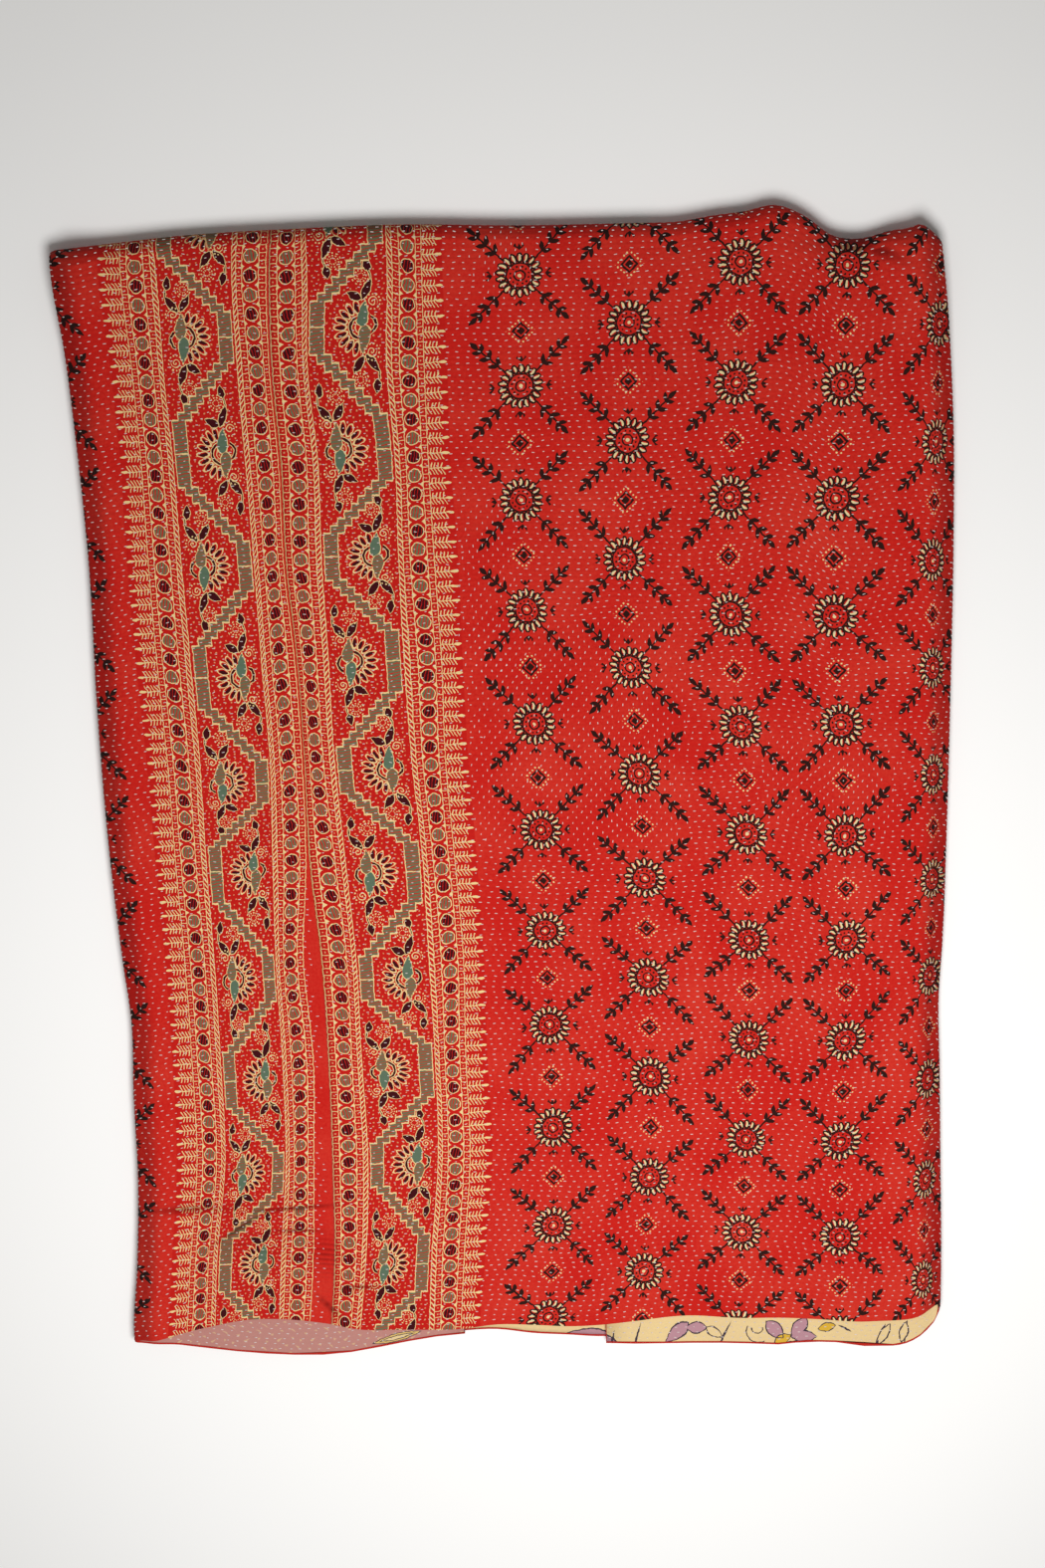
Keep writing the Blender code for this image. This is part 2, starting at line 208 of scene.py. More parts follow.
def linear(code):
    """An sRGB hex colour as linear red, green and blue."""
    parts = [int(code[i:i + 2], 16) / 255 for i in (1, 3, 5)]
    return tuple(c / 12.92 if c <= 0.04045 else ((c + 0.055) / 1.055) ** 2.4 for c in parts)


def measure(name, description, default, least, most):
    return FloatProperty(name=name, description=description, default=default, min=least, max=most,
                         unit="LENGTH")


class QuiltSizes(bpy.types.PropertyGroup):
    """Sizes of the quilting that a maker would choose."""
    row_spacing: measure("Row spacing", "Distance between rows of running stitch", 0.0057, 0.003, 0.02)
    stitch_pitch: measure("Stitch pitch", "Distance from one stitch to the next", 0.0100, 0.004, 0.03)
    stitch_length: measure("Stitch length", "Length of thread that shows", 0.0036, 0.001, 0.01)
    thread_width: measure("Thread width", "Width of the quilting thread", 0.00115, 0.0003, 0.003)
    ripple: measure("Ripple", "How deep each row of stitches pulls the cloth in", 0.00035, 0.0, 0.002)


def dye(name, description, code):
    return FloatVectorProperty(name=name, description=description, subtype="COLOR", size=3,
                               min=0.0, max=1.0, default=linear(code))


class QuiltColours(bpy.types.PropertyGroup):
    """Dyes, inks and threads."""
    red: dye("Red", "Ground of the printed face", "#BF1B13")
    faded: dye("Faded red", "Ground where it has worn and faded", "#CB3526")
    deep: dye("Deep red", "Ground between the border's lines", "#B91710")
    cream: dye("Cream", "Resist lines of the borders", "#E3C88C")
    petal: dye("Petal", "Petals of the rosettes", "#DCC996")
    black: dye("Black", "Outlines, sprigs and leaves", "#2A120D")
    maroon: dye("Maroon", "Filled circles and leaves", "#3D070E")
    olive: dye("Olive", "Hatched bands and circles", "#69664A")
    teal: dye("Teal", "Drops on the fan flowers", "#41705B")
    ground: dye("Backing cream", "Ground of the backing", "#DBBF8D")
    lilac: dye("Lilac", "Petals of the backing", "#B1848D")
    rose: dye("Dusty rose", "Rose ground of the backing", "#B78077")
    yellow: dye("Yellow", "Flower hearts of the backing", "#D1A637")
    outline: dye("Outline", "Outlines of the backing's flowers", "#3E3440")
    thread: dye("Thread", "Quilting thread", "#EEE0DB")
    # Painted shade: a tint multiplied in at the folds, below the top, along the left side and in the creases
    # and wrinkles.
    soil: dye("Soil", "Tint of the folds and creases, darkened by handling", "#9C7C73")
    floor: dye("Floor", "Floor under the quilt", "#F6F5F3")


# Shape of the folded cloth ---------------------------------------------------------------------------------

def smooth_curve(xs, ys, at):
    """Smooth values through a table (a cubic between its rows)."""
    order = np.argsort(xs)
    xs, ys = np.asarray(xs, float)[order], np.asarray(ys, float)[order]
    slopes = np.gradient(ys, xs)
    at = np.clip(at, xs[0], xs[-1])
    i = np.clip(np.searchsorted(xs, at) - 1, 0, len(xs) - 2)
    step = xs[i + 1] - xs[i]
    t = (at - xs[i]) / step
    start = (1 + 2 * t) * (1 - t) ** 2 * ys[i] + t * (1 - t) ** 2 * step * slopes[i]
    return start + t * t * (3 - 2 * t) * ys[i + 1] + t * t * (t - 1) * step * slopes[i + 1]


def side(name, y):
    return smooth_curve(SIDES["y"], SIDES[name], y)


def hem(name, x):
    return smooth_curve(HEMS["x"], HEMS[name], x)


def top_fold(x):
    return smooth_curve(TOP_FOLD["x"], TOP_FOLD["y"], x)


def bell(distance, reach):
    return np.exp(-(distance / reach) ** 2)


def painted_shade_at(soil, distance):
    return soil.share * bell(distance, soil.reach)


def half_thickness(inset):
    return HALF_FLAT + EDGE_PUFF * bell(inset, EDGE_PUFF_REACH) - EDGE_DROP * bell(inset, EDGE_DROP_REACH)


def inset_of(x, y):
    """Distance in from the start of the nearest side fold."""
    return np.maximum(0.0, np.minimum(x - side("left", y), side("right", y) - x) - EDGE_ROUND)


def stack_height(x, y, inset):
    """Height of the front above the floor, without its ridges."""
    middle = (LEFT_FLAP_END + RIGHT_FLAP_END) / 2
    sag_reach = (RIGHT_FLAP_END - LEFT_FLAP_END) / 2
    sunk = MIDDLE_SAG * np.maximum(0.0, 1 - ((x - middle) / sag_reach) ** 2) ** 2
    rise = bell(np.maximum(0.0, top_fold(x) - y - TOP_PUFF_REACH / 2), TOP_PUFF_REACH)
    return 2 * half_thickness(inset) + BETWEEN_HALVES + TOP_PUFF * rise - sunk * (1 - rise)


def ridge_shape(ridge, x, y):
    """How much of a ridge is at a place: 1 on its middle, 0 away from it."""
    turn = math.radians(ridge.angle)
    dx, dy = x - ridge.x, y - ridge.y
    along = dx * math.cos(turn) + dy * math.sin(turn)
    across = dy * math.cos(turn) - dx * math.sin(turn)
    return bell(along, ridge.length / 2) * bell(across, ridge.width)


def ridge_height(ridges, x, y):
    return sum(ridge.height * ridge_shape(ridge, x, y) for ridge in ridges)


def pucker_share(pucker, x, y):
    """How much of a gathered patch is at a place, and the wave of its wrinkles, from -1 to 1."""
    wave = np.sin(TAU * (y + PUCKER_SLANT * (x - pucker.x)) / pucker.spacing)
    return bell(x - pucker.x, pucker.half_width) * bell(y - pucker.y, pucker.half_height), wave


def crease_height(x, y, fine):
    """Height of the creases and puckers, or under them for the sides that are too coarse to follow them."""
    under = [trough._replace(width=trough.width + UNDER_CREASE) for trough in TROUGHS]
    total = ridge_height(CREASES if fine else under, x, y)
    for pucker in PUCKERS:
        share, wave = pucker_share(pucker, x, y)
        total = total + pucker.height * share * (wave if fine else -1.0)
    return total


def painted_shade_amount(x, y, inset):
    """Painted shade on the cloth at its folds, below the top, at its left side and in its creases, from 0 to
    1.
    """
    under_top = np.maximum(0.0, top_fold(x) - y)
    folds = np.maximum(painted_shade_at(SIDE_PAINTED_SHADE, inset), painted_shade_at(TOP_PAINTED_SHADE, under_top))
    grown = np.clip((y - LEFT_SHADE_FROM) / (LEFT_SHADE_FULL - LEFT_SHADE_FROM), 0, 1)
    left = painted_shade_at(LEFT_SHADE, x - side("left", y)) * grown
    creases = sum(min(MOST_CREASE_PAINTED_SHADE, -CREASE_PAINTED_SHADE * trough.height) * ridge_shape(trough, x, y)
                  for trough in TROUGHS)
    for pucker in PUCKERS:
        share, wave = pucker_share(pucker, x, y)
        creases = creases + PUCKER_PAINTED_SHADE * pucker.height * share * np.maximum(0.0, -wave)
    return np.clip(folds + left + painted_shade_at(TOP_SHADE, under_top) + creases, 0, 1)


def unevenness(x, y):
    """Low swells of soft cloth, about a millimetre high and a hand wide."""
    broad = np.sin(x / 31 + 1.3 * np.sin(y / 97)) * np.sin(y / 43 + 0.8 * np.sin(x / 71 + 1.0))
    small = np.sin(x / 17 - y / 29 + 2.0) * np.sin(y / 23 + x / 61)
    return BROAD_SWELL * broad + SMALL_SWELL * small


# Columns of cloth run from hem to hem over the top fold. place is a share of a span, or a place p on the
# print. turn is 0 on the front and pi on a flap. zone names the cotton.
Column = namedtuple("Column", "span place turn zone", defaults=(0.0, "field"))


def steps(start, end, size):
    return np.linspace(start, end, max(2, round(abs(end - start) / size) + 1))


# Steps from column to column: shares of a flap, close together up to a place near the fold, turns of a fold,
# millimetres of print, and shares of the cloth beside the folds and of the wedge.
FLAP_CLOSE = 0.12
FLAP_SHARES = np.concatenate([steps(0, FLAP_CLOSE, 0.02)[:-1], steps(FLAP_CLOSE, 1, 0.09)])
FOLD_TURNS = steps(0, math.pi, math.pi / 12)
LEFT_PRINT_STEP, PRINT_STEP, FIELD_STEP = 3.6, 5.4, 8.8
LEFT_EDGE_STEP, RIGHT_EDGE_STEP, WEDGE_STEP = 0.1, 0.0625, 0.25
BORDER_ZONES = [(0, RAIL, "border"), (RAIL, ROPE, "border"), (ROPE, FAR_ROPE, "garland"),
                (FAR_ROPE, SEAM, "border")]


def left_columns():
    columns = [Column("left flap", s, math.pi) for s in FLAP_SHARES[:0:-1]]
    columns += [Column("left fold", 0.0, t) for t in FOLD_TURNS[::-1]]
    columns += [Column("left edge", s) for s in steps(0, 1, LEFT_EDGE_STEP)[1:-1]]
    for start, end, zone in BORDER_ZONES:
        columns += [Column("left print", p, zone=zone) for p in steps(start, end, LEFT_PRINT_STEP)[:-1]]
    return columns + [Column("wedge", s, zone="plain") for s in steps(0, 1, WEDGE_STEP)]


def right_columns():
    columns = []
    for start, end, zone in BORDER_ZONES[::-1]:
        columns += [Column("right print", p, zone=zone) for p in steps(end, start, PRINT_STEP)[:-1]]
    columns += [Column("right print", p) for p in steps(0, LAST_PRINT_COLUMN, FIELD_STEP)]
    columns += [Column("right edge", s) for s in steps(0, 1, RIGHT_EDGE_STEP)[1:-1]]
    columns += [Column("right fold", 0.0, t) for t in FOLD_TURNS]
    return columns + [Column("right flap", s, math.pi) for s in FLAP_SHARES[1:]]


def motif_place(guide, y):
    """Place along the print at heights y, from the heights of the guide's motifs."""
    count = len(guide.heights)
    gap = (guide.heights[0] - guide.heights[-1]) / (count - 1)
    heights = [guide.heights[0] + gap, *guide.heights, guide.heights[-1] - gap]
    places = [guide.first_q - guide.pitch * (n - 1) for n in range(count + 2)]
    return np.interp(y, heights[::-1], places[::-1])


def on_guides(guides, p, y):
    """x on the quilt and q along the print, for a place p on the print at heights y."""
    order = sorted(guides, key=lambda guide: guide.p)
    i = int(np.clip(np.searchsorted([g.p for g in order], p) - 1, 0, len(order) - 2))
    a, b = order[i], order[i + 1]
    share = (p - a.p) / (b.p - a.p)
    xa, xb = (smooth_curve(GUIDE_HEIGHTS, g.x, y) for g in (a, b))
    qa, qb = (motif_place(g, y) for g in (a, b))
    return xa + share * (xb - xa), qa + share * (qb - qa)


def across(column, y):
    """x of a column at heights y, with its places p and q on the print."""
    left, right = side("left", y) + EDGE_ROUND, side("right", y) - EDGE_ROUND
    arc = column.turn * (EDGE_ROUND + half_thickness(0.0) / 2) / 2
    span, share = column.span, column.place
    if span in ("left print", "right print"):
        left_print = span == "left print"
        x, q = on_guides(LEFT_GUIDES if left_print else RIGHT_GUIDES, share, y)
        return x, np.full_like(y, -share if left_print else share), q
    if span == "wedge":
        edge, q = on_guides(LEFT_GUIDES, SEAM, y)
        seam, _ = on_guides(RIGHT_GUIDES, SEAM, y)
        x = edge + share * (seam - SEAM_GAP - edge)
        return x, edge - x - SEAM, q
    if span.startswith("left"):
        tips, q = on_guides(LEFT_GUIDES, 0, y)
        tips, q = tips - LEFT_FIELD_SHIFT[0], q + LEFT_FIELD_SHIFT[1]
        if span == "left flap":
            x = left + share * (LEFT_FLAP_END - left)
            return x, left - tips - arc - (x - left), q
        if span == "left fold":
            return left - EDGE_ROUND * math.sin(column.turn), left - tips - arc, q
        x = left + share * (tips + LEFT_FIELD_SHIFT[0] - left)
        return x, x - tips, q
    inner, q_inner = on_guides(RIGHT_GUIDES, LAST_PRINT_COLUMN, y)
    outer, q = on_guides(RIGHT_GUIDES, RIGHT_GUIDES[-1].p, y)

    def printed(x):
        way = (x - inner) / (outer - inner)
        squeezed = (1 - SQUEEZE) * way + SQUEEZE * way ** SQUEEZE_POWER
        return LAST_PRINT_COLUMN + (RIGHT_GUIDES[-1].p - LAST_PRINT_COLUMN) * squeezed, np.minimum(way, 1.0)

    at_fold, _ = printed(right)
    if span == "right edge":
        x = inner + share * (right - inner)
        p, way = printed(x)
        return x, p, q_inner + way * (q - q_inner)
    if span == "right fold":
        return right + EDGE_ROUND * math.sin(column.turn), at_fold - arc, q
    x = right - share * (right - RIGHT_FLAP_END)
    return x, at_fold - arc - (right - x), q


FRONT, TURN, BACK = range(3)
Rows = namedtuple("Rows", "kind value phase front fine")
FRONT_LENGTH, TURN_LENGTH = 1130.0, 36.0
# Rows outside these shares of the front stay close together on every sheet, and the others have this step.
FINE_HEM, FINE_TOP, COARSE_STEP = 0.849, 0.05, 0.008
CREASED = (0.85, 0.99)      # between these shares the left panel has twice as many rows, for its creases
TURN_STEP = math.pi / 20
# Start, end and step, as shares of the back.
BACK_ROWS, BACK_HEM_ROWS = (0, 0.96, 0.03), (0.967, 1.0, 0.0055)
ROWS_A_STITCH = 3      # rows of the mesh for each row of stitches


def cloth_rows(row_spacing, fine, doubled=(1.0, 1.0)):
    """Rows of the mesh from the front hem over the top fold to the back hem.

    phase counts rows of stitches, and front goes from 1 on the front to 0 on the back, which lies flat.
    """
    count = round(FRONT_LENGTH / row_spacing)
    rows = ROWS_A_STITCH * count
    front = np.arange(rows, 0, -1) / rows
    if fine:
        between = (front[1:] + front[:-1]) / 2
        between = between[(between > doubled[0]) & (between < doubled[1])]
        front = np.sort(np.concatenate([front, between]))[::-1]
    else:
        coarse = steps(FINE_HEM, FINE_TOP, COARSE_STEP)
        front = np.concatenate([front[front > FINE_HEM], coarse, front[front < FINE_TOP]])
    turn = steps(0, math.pi, TURN_STEP)
    back = np.concatenate([steps(*BACK_ROWS)[1:], steps(*BACK_HEM_ROWS)])
    value = np.concatenate([front, turn, back])
    kind = np.concatenate([np.full(len(front), FRONT), np.full(len(turn), TURN), np.full(len(back), BACK)])
    length = np.where(kind == FRONT, value * FRONT_LENGTH, -value / math.pi * TURN_LENGTH)
    length = np.where(kind == BACK, -TURN_LENGTH - value * FRONT_LENGTH, length)
    on_front = np.where(kind == TURN, (1 + np.cos(value)) / 2, np.where(kind == FRONT, 1.0, 0.0))
    return Rows(kind, value, length / FRONT_LENGTH * count, on_front, fine)


# Waves of the rows of stitches: height, length across, and how much they change from hem to top.
Wave = namedtuple("Wave", "height length change")
ROW_WAVES = [Wave(2.0, 58, 5), Wave(1.3, 23, 31), Wave(0.8, 11, 57)]


def wandering(x, share):
    """How far the rows of stitches stray up and down, as rows sewn by eye do."""
    stray = sum(wave.height * np.sin(x / wave.length + wave.change * share) for wave in ROW_WAVES)
    return stray * np.sqrt(np.sin(math.pi * np.clip(share, 0, 1)))


FIRST_TOP, FIRST_LENGTH, SETTLING_ROUNDS = 570, 1140, 4     # rows start evenly spread, and are then settled


def away_from_folds(inset, to_top, side_fade, top_fade):
    return np.maximum(0.0, 1 - bell(inset, side_fade) - bell(to_top, top_fade))


def column_points(column, rows):
    """One column of cloth: its points, and for each its place on the print and its painted shade."""
    front, turned, back = (rows.kind == kind for kind in (FRONT, TURN, BACK))
    share = np.where(turned, 0.0, rows.value)
    flap_share = (1 - math.cos(column.turn)) / 2
    y = FIRST_TOP - FIRST_LENGTH * share
    for _ in range(SETTLING_ROUNDS):
        x, p, q = across(column, y)
        fold = top_fold(x)
        start = fold - stack_height(x, fold, inset_of(x, fold)) / 2
        front_hem = (1 - flap_share) * hem("front", x) + flap_share * hem("flap", x)
        end = np.where(back, hem("back", x), front_hem)
        y = start + share * (end - start) + np.where(front, wandering(x, share), 0.0)
        y = np.where(turned, fold, y)
    x, p, q = across(column, y)
    inset = inset_of(x, y)
    height = stack_height(x, y, inset)
    depth = half_thickness(inset) * flap_share
    if column.turn == 0.0:
        to_top = top_fold(x) - y
        soft = ridge_height(RIDGES, x, y) + unevenness(x, y)
        soft = soft * away_from_folds(inset, to_top, SOFT_SIDE_FADE, SOFT_TOP_FADE)
        sharp = crease_height(x, y, rows.fine) * away_from_folds(inset, to_top, CREASE_FADE, CREASE_FADE)
        height = np.where(front, height + soft + sharp, height)
    radius = height / 2
    angle = np.where(turned, rows.value, 0.0)
    z = np.where(front, height - depth, np.where(back, depth, radius + (radius - depth) * np.cos(angle)))
    soil = painted_shade_amount(x, y, inset)
    y_print = y
    y = np.where(turned, y - radius + (radius - depth) * np.sin(angle), y)
    q = np.where(turned, q - radius + radius * angle, np.where(back, q + 2 * (top_fold(x) - y_print), q))
    return np.stack([x, y, z], 1), np.stack([p, q, soil], 1)


Cloth = namedtuple("Cloth", "points into prints columns rows")


def unit(vectors):
    return vectors / np.maximum(np.linalg.norm(vectors, axis=-1, keepdims=True), 1e-9)


def bisector(grid, axis):
    """Directions halfway between the steps on the two sides of each point."""
    step = unit(np.diff(grid, axis=axis))
    ends = [np.take(step, [0], axis=axis), np.take(step, [-1], axis=axis)]
    return unit(np.concatenate([ends[0], step], axis=axis) + np.concatenate([step, ends[1]], axis=axis))


def inward(grid):
    """Directions into the cloth at each point of its outer side."""
    return unit(np.cross(bisector(grid, 0), bisector(grid, 1)))


def lay_cloth(columns, rows):
    """The cloth's outer side as a grid of points, with directions into the cloth and places on the print."""
    laid = zip(*(column_points(column, rows) for column in columns))
    points, prints = (np.stack(grid, axis=1) for grid in laid)
    points = points - np.array([*TABLE_MIDDLE, 0.0])
    return Cloth(points, inward(points), prints, columns, rows)


def turned_hem(cloth, end):
    """Directions out of the cloth along a hem, at its first (0) or last (-1) row."""
    return unit(cloth.points[end] - cloth.points[1 if end == 0 else -2])


# A turned hem in section: how far out past the edge, and how deep under the outer side, its two sides run.
HemStep = namedtuple("HemStep", "out outer_depth inset inner_depth")
# Places on the border's and the field's cotton with no print, for the plain hems of the flaps and the back,
# each with some painted shade as its third value.
PLAIN_BORDER, PLAIN_FIELD = (260.0, 0.0, 0.3), (-120.0, 470.0, 0.3)
INNER_LEAST = 0.2      # least height of the inner side above the floor
HEM_SECTION = [
    HemStep(0.7, 0.5, 0.3, 1.05),
    HemStep(0.9, 1.3, 0.2, 1.35),
    HemStep(0.7, 2.2, 0.3, 1.7),
    HemStep(0.1, 2.7, 0.8, 1.95),
    HemStep(-1.4, 2.85, 1.4, 2.4),
]


def face_sides(cloth, ripple):
    """Outer and inner grids of a face panel, with its hems turned under, and its prints."""
    front = cloth.rows.front[:, None, None]
    pull = ripple * np.cos(TAU * cloth.rows.phase[:, None, None]) * front
    outer = cloth.points + cloth.into * pull
    under = lay_cloth(cloth.columns, cloth.rows._replace(fine=False))
    inner = under.points + under.into * FACE_PLY
    prints = cloth.prints
    plain = np.array([PLAIN_FIELD if column.zone == "field" else PLAIN_BORDER for column in cloth.columns])
    for end in (0, -1):
        out, into, edge = turned_hem(cloth, end), cloth.into[end], cloth.points[end]
        beneath = np.array([end == -1 or column.turn > math.pi / 2 for column in cloth.columns])
        hem_print = np.where(beneath[:, None], plain, cloth.prints[end])
        turned = ([edge + out * step.out + into * step.outer_depth for step in HEM_SECTION],
                  [edge - out * step.inset + into * step.inner_depth for step in HEM_SECTION],
                  [hem_print] * len(HEM_SECTION))
        outer, inner, prints = (np.concatenate([more[::-1], grid] if end == 0 else [grid, more])
                                for grid, more in zip((outer, inner, prints), turned))
    outer[:, :, 2], inner[:, :, 2] = np.maximum(outer[:, :, 2], 0.0), np.maximum(inner[:, :, 2], INNER_LEAST)
    return outer, inner, prints


MOST_DRAWN = 0.9       # of the step to the next line of a grid


def draw_in(grid, distance):
    """Moves all four edges of a grid inwards along the cloth."""
    for edge, beside in ((0, 1), (-1, -2)):
        for lines in (grid, grid.swapaxes(0, 1)):
            step = lines[beside] - lines[edge]
            share = distance / np.linalg.norm(step, axis=1, keepdims=True)
            lines[edge] += step * np.minimum(MOST_DRAWN, share)


LEAST_CREASE = 0.2     # height of a crease from which its rows are kept


def creased_rows(cloth):
    """Which rows cross a crease, and are kept on the coarser side too."""
    x, y = cloth.points[:, :, 0] + TABLE_MIDDLE[0], cloth.points[:, :, 1] + TABLE_MIDDLE[1]
    return (cloth.rows.kind == FRONT) & (np.abs(crease_height(x, y, False)).max(axis=1) > LEAST_CREASE)


def kept_steps(close, every):
    """Every so many of a run of steps, with both ends and all the close ones."""
    count = len(close)
    return np.array([i for i in range(count) if i in (0, count - 1) or close[i] or i % every == 0])


def add_object(name, data):
    thing = bpy.data.objects.new(name, data)
    bpy.context.scene.collection.objects.link(thing)
    return thing


# Corners of a grid's faces, as steps along its rows and columns: on the side that shows, and on the other.
SHOWN_CORNERS, HIDDEN_CORNERS = ((0, 0), (1, 0), (1, 1), (0, 1)), ((0, 0), (0, 1), (1, 1), (1, 0))


def closed_sheet(name, shown, hidden, prints, rows_kept, columns_kept, material_of_column, materials):
    """A closed sheet from a fine grid on the side that shows and a coarser one on the other side."""
    rows, columns = shown.shape[:2]
    hidden = hidden[np.ix_(rows_kept, columns_kept)]
    points = np.concatenate([shown.reshape(-1, 3), hidden.reshape(-1, 3)]) * METRE
    fine = np.arange(rows * columns).reshape(rows, columns)
    coarse = rows * columns + np.arange(len(rows_kept) * len(columns_kept)).reshape(len(rows_kept), -1)
    faces, slots = [], []
    for grid, corners, numbers in ((fine, SHOWN_CORNERS, range(columns)),
                                   (coarse, HIDDEN_CORNERS, columns_kept)):
        for i in range(grid.shape[0] - 1):
            for j in range(grid.shape[1] - 1):
                faces.append(tuple(grid[i + down, j + over] for down, over in corners))
                slots.append(material_of_column[min(numbers[j], columns - 2)])
    rims = [(fine[0], coarse[0], columns_kept, 1), (fine[-1], coarse[-1], columns_kept, -1),
            (fine[:, 0], coarse[:, 0], rows_kept, -1), (fine[:, -1], coarse[:, -1], rows_kept, 1)]
    for edge, other, kept, way in rims:
        for n, (a, b) in enumerate(zip(kept, kept[1:])):
            loop = [*edge[a:b + 1], other[n + 1], other[n]]
            faces.append(tuple(loop[::way]))
            slots.append(material_of_column[min(a, columns - 2)] if kept is columns_kept else
                         material_of_column[0 if edge[0] == fine[0, 0] else -1])
    mesh = bpy.data.meshes.new(name)
    mesh.from_pydata(points.tolist(), [], [tuple(int(v) for v in face) for face in faces])
    mesh.polygons.foreach_set("material_index", np.array(slots, np.int32))
    mesh.shade_smooth()
    for material in materials:
        mesh.materials.append(material)
    places = np.concatenate([prints.reshape(-1, 3), prints[np.ix_(rows_kept, columns_kept)].reshape(-1, 3)])
    layer = mesh.attributes.new("print_place_and_painted_shade", "FLOAT_VECTOR", "POINT")
    layer.data.foreach_set("vector", places.astype(np.float32).ravel())
    mesh.update()
    return add_object(name, mesh)


# Materials -------------------------------------------------------------------------------------------------

def add_node(tree, kind, settings=None, **links):
    """Adds a node, sets its properties, and links or sets its inputs, named with _ for a space."""
    node = tree.nodes.new(kind)
    for key, value in (settings or {}).items():
        setattr(node, key, value)
    for key, value in links.items():
        name = key.replace("_", " ")
        socket = node.inputs[int(name[1:])] if name[0] == "i" and name[1:].isdigit() else node.inputs[name]
        if isinstance(value, bpy.types.NodeSocket):
            tree.links.new(value, socket)
        else:
            socket.default_value = value
    return node


MATHS = {
    ast.Add: "ADD", ast.Sub: "SUBTRACT", ast.Mult: "MULTIPLY", ast.Div: "DIVIDE", ast.Lt: "LESS_THAN",
    ast.Gt: "GREATER_THAN", "min": "MINIMUM", "max": "MAXIMUM", "abs": "ABSOLUTE", "frac": "FRACT",
    "floor": "FLOOR", "sin": "SINE", "mod": "FLOORED_MODULO", "atan2": "ARCTAN2",
}
FOLDED = {
    "ADD": lambda a, b: a + b, "SUBTRACT": lambda a, b: a - b, "MULTIPLY": lambda a, b: a * b,
    "DIVIDE": lambda a, b: a / b,
}


def draw(tree, text, **known):
    """Turns lines of arithmetic into Math nodes and returns every value by its name. 1 stands for inside.

    Besides the functions in MATHS, square(a) is a times a, and hypot(a, b) is how far (a, b) is from (0, 0).
    """
    def maths(operation, *values):
        if operation in FOLDED and all(isinstance(v, float) for v in values):
            return FOLDED[operation](*values)
        sockets = {f"i{n}": v for n, v in enumerate(values)}
        return add_node(tree, "ShaderNodeMath", {"operation": operation}, **sockets).outputs[0]

    def value(part):
        if isinstance(part, ast.Constant):
            return float(part.value)
        if isinstance(part, ast.Name):
            return known[part.id]
        if isinstance(part, ast.UnaryOp):
            return maths("MULTIPLY", value(part.operand), -1.0)
        if isinstance(part, ast.BinOp):
            return maths(MATHS[type(part.op)], value(part.left), value(part.right))
        if isinstance(part, ast.Compare):
            return maths(MATHS[type(part.ops[0])], value(part.left), value(part.comparators[0]))
        values = [value(argument) for argument in part.args]
        if part.func.id in ("square", "hypot"):
            squares = [maths("MULTIPLY", v, v) for v in values]
            return squares[0] if len(values) == 1 else maths("SQRT", maths("ADD", *squares))
        operation = MATHS[part.func.id]
        if len(values) == 1:
            return maths(operation, values[0])
        return reduce(lambda first, other: maths(operation, first, other), values)

    for line in ast.parse(text).body:
        known[line.targets[0].id] = value(line.value)
    return known


# The field: rosettes in staggered columns, joined by leafy sprigs, with a small diamond between them.
FIELD_PRINT = """
column = max(floor((first - p) / pitch + 0.5), 0)
half_drop = mod(column + (column > 2.5), 2) * half_repeat
u_signed = first - p - column * pitch
v_signed = mod(q - 470 + half_drop, repeat) - half_repeat
u = abs(u_signed)
v = abs(v_signed)
angle = atan2(v_signed, u_signed)
r = hypot(u, v)
petal_across = (frac(angle * 2.8648) - 0.5) * r * 0.3491
wide = square(petal_across)
deep = square(r - 17.3)
petal_ink = wide / 11.5 + deep / 24 < 1
petal = wide / 2.5 + deep / 11 < 1
dot = square((frac(angle * 1.9099) - 0.5) * r * 0.5236) + square(r - 8.6) < 1.1
ring = max(abs(r - 12) < 0.8, abs(r - 5) < 0.8)
a = max(u, v)
b = min(u, v)
crown = (a > 24 + 0.8 * b) * (a < 30.6 - 1.9 * min(b, abs(b - 3.8)))
s = (a + b) * 0.7071
t = (a - b) * 0.7071
stem = (t < 0.9) * (s > 20) * (s < 58)
bud = t / 2.5 + square(s - 60.5) / 34
leaf = min(bud, abs(b - 21.2) / 2.2 + square(a - 26) / 29)
leaf = min(leaf, abs(b - 28.9) / 2.2 + square(a - 33.7) / 29)
leaf = min(leaf, abs(b - 36.2) / 2.1 + square(a - 40.6) / 24)
box = u + half_repeat - v
outline = max(abs(box - 7.6) < 1.4, box < 4.2)
box_side = (frac((u - half_repeat + v) / 5.6) - 0.5) * 4
seed = square(box_side) + square(box - 12.6) * 0.5 < 0.75
black = max(petal_ink, dot, ring, crown, stem, leaf < 1, outline)
cream = max(petal * (petal_across < 0.45), r < 1.7)
"""

# The left panel's print is the right panel's, seen with its other end up.
TURNED = """
turned = p < 0
p = abs(p)
q = q + turned * (turned_at - 2 * q)
"""

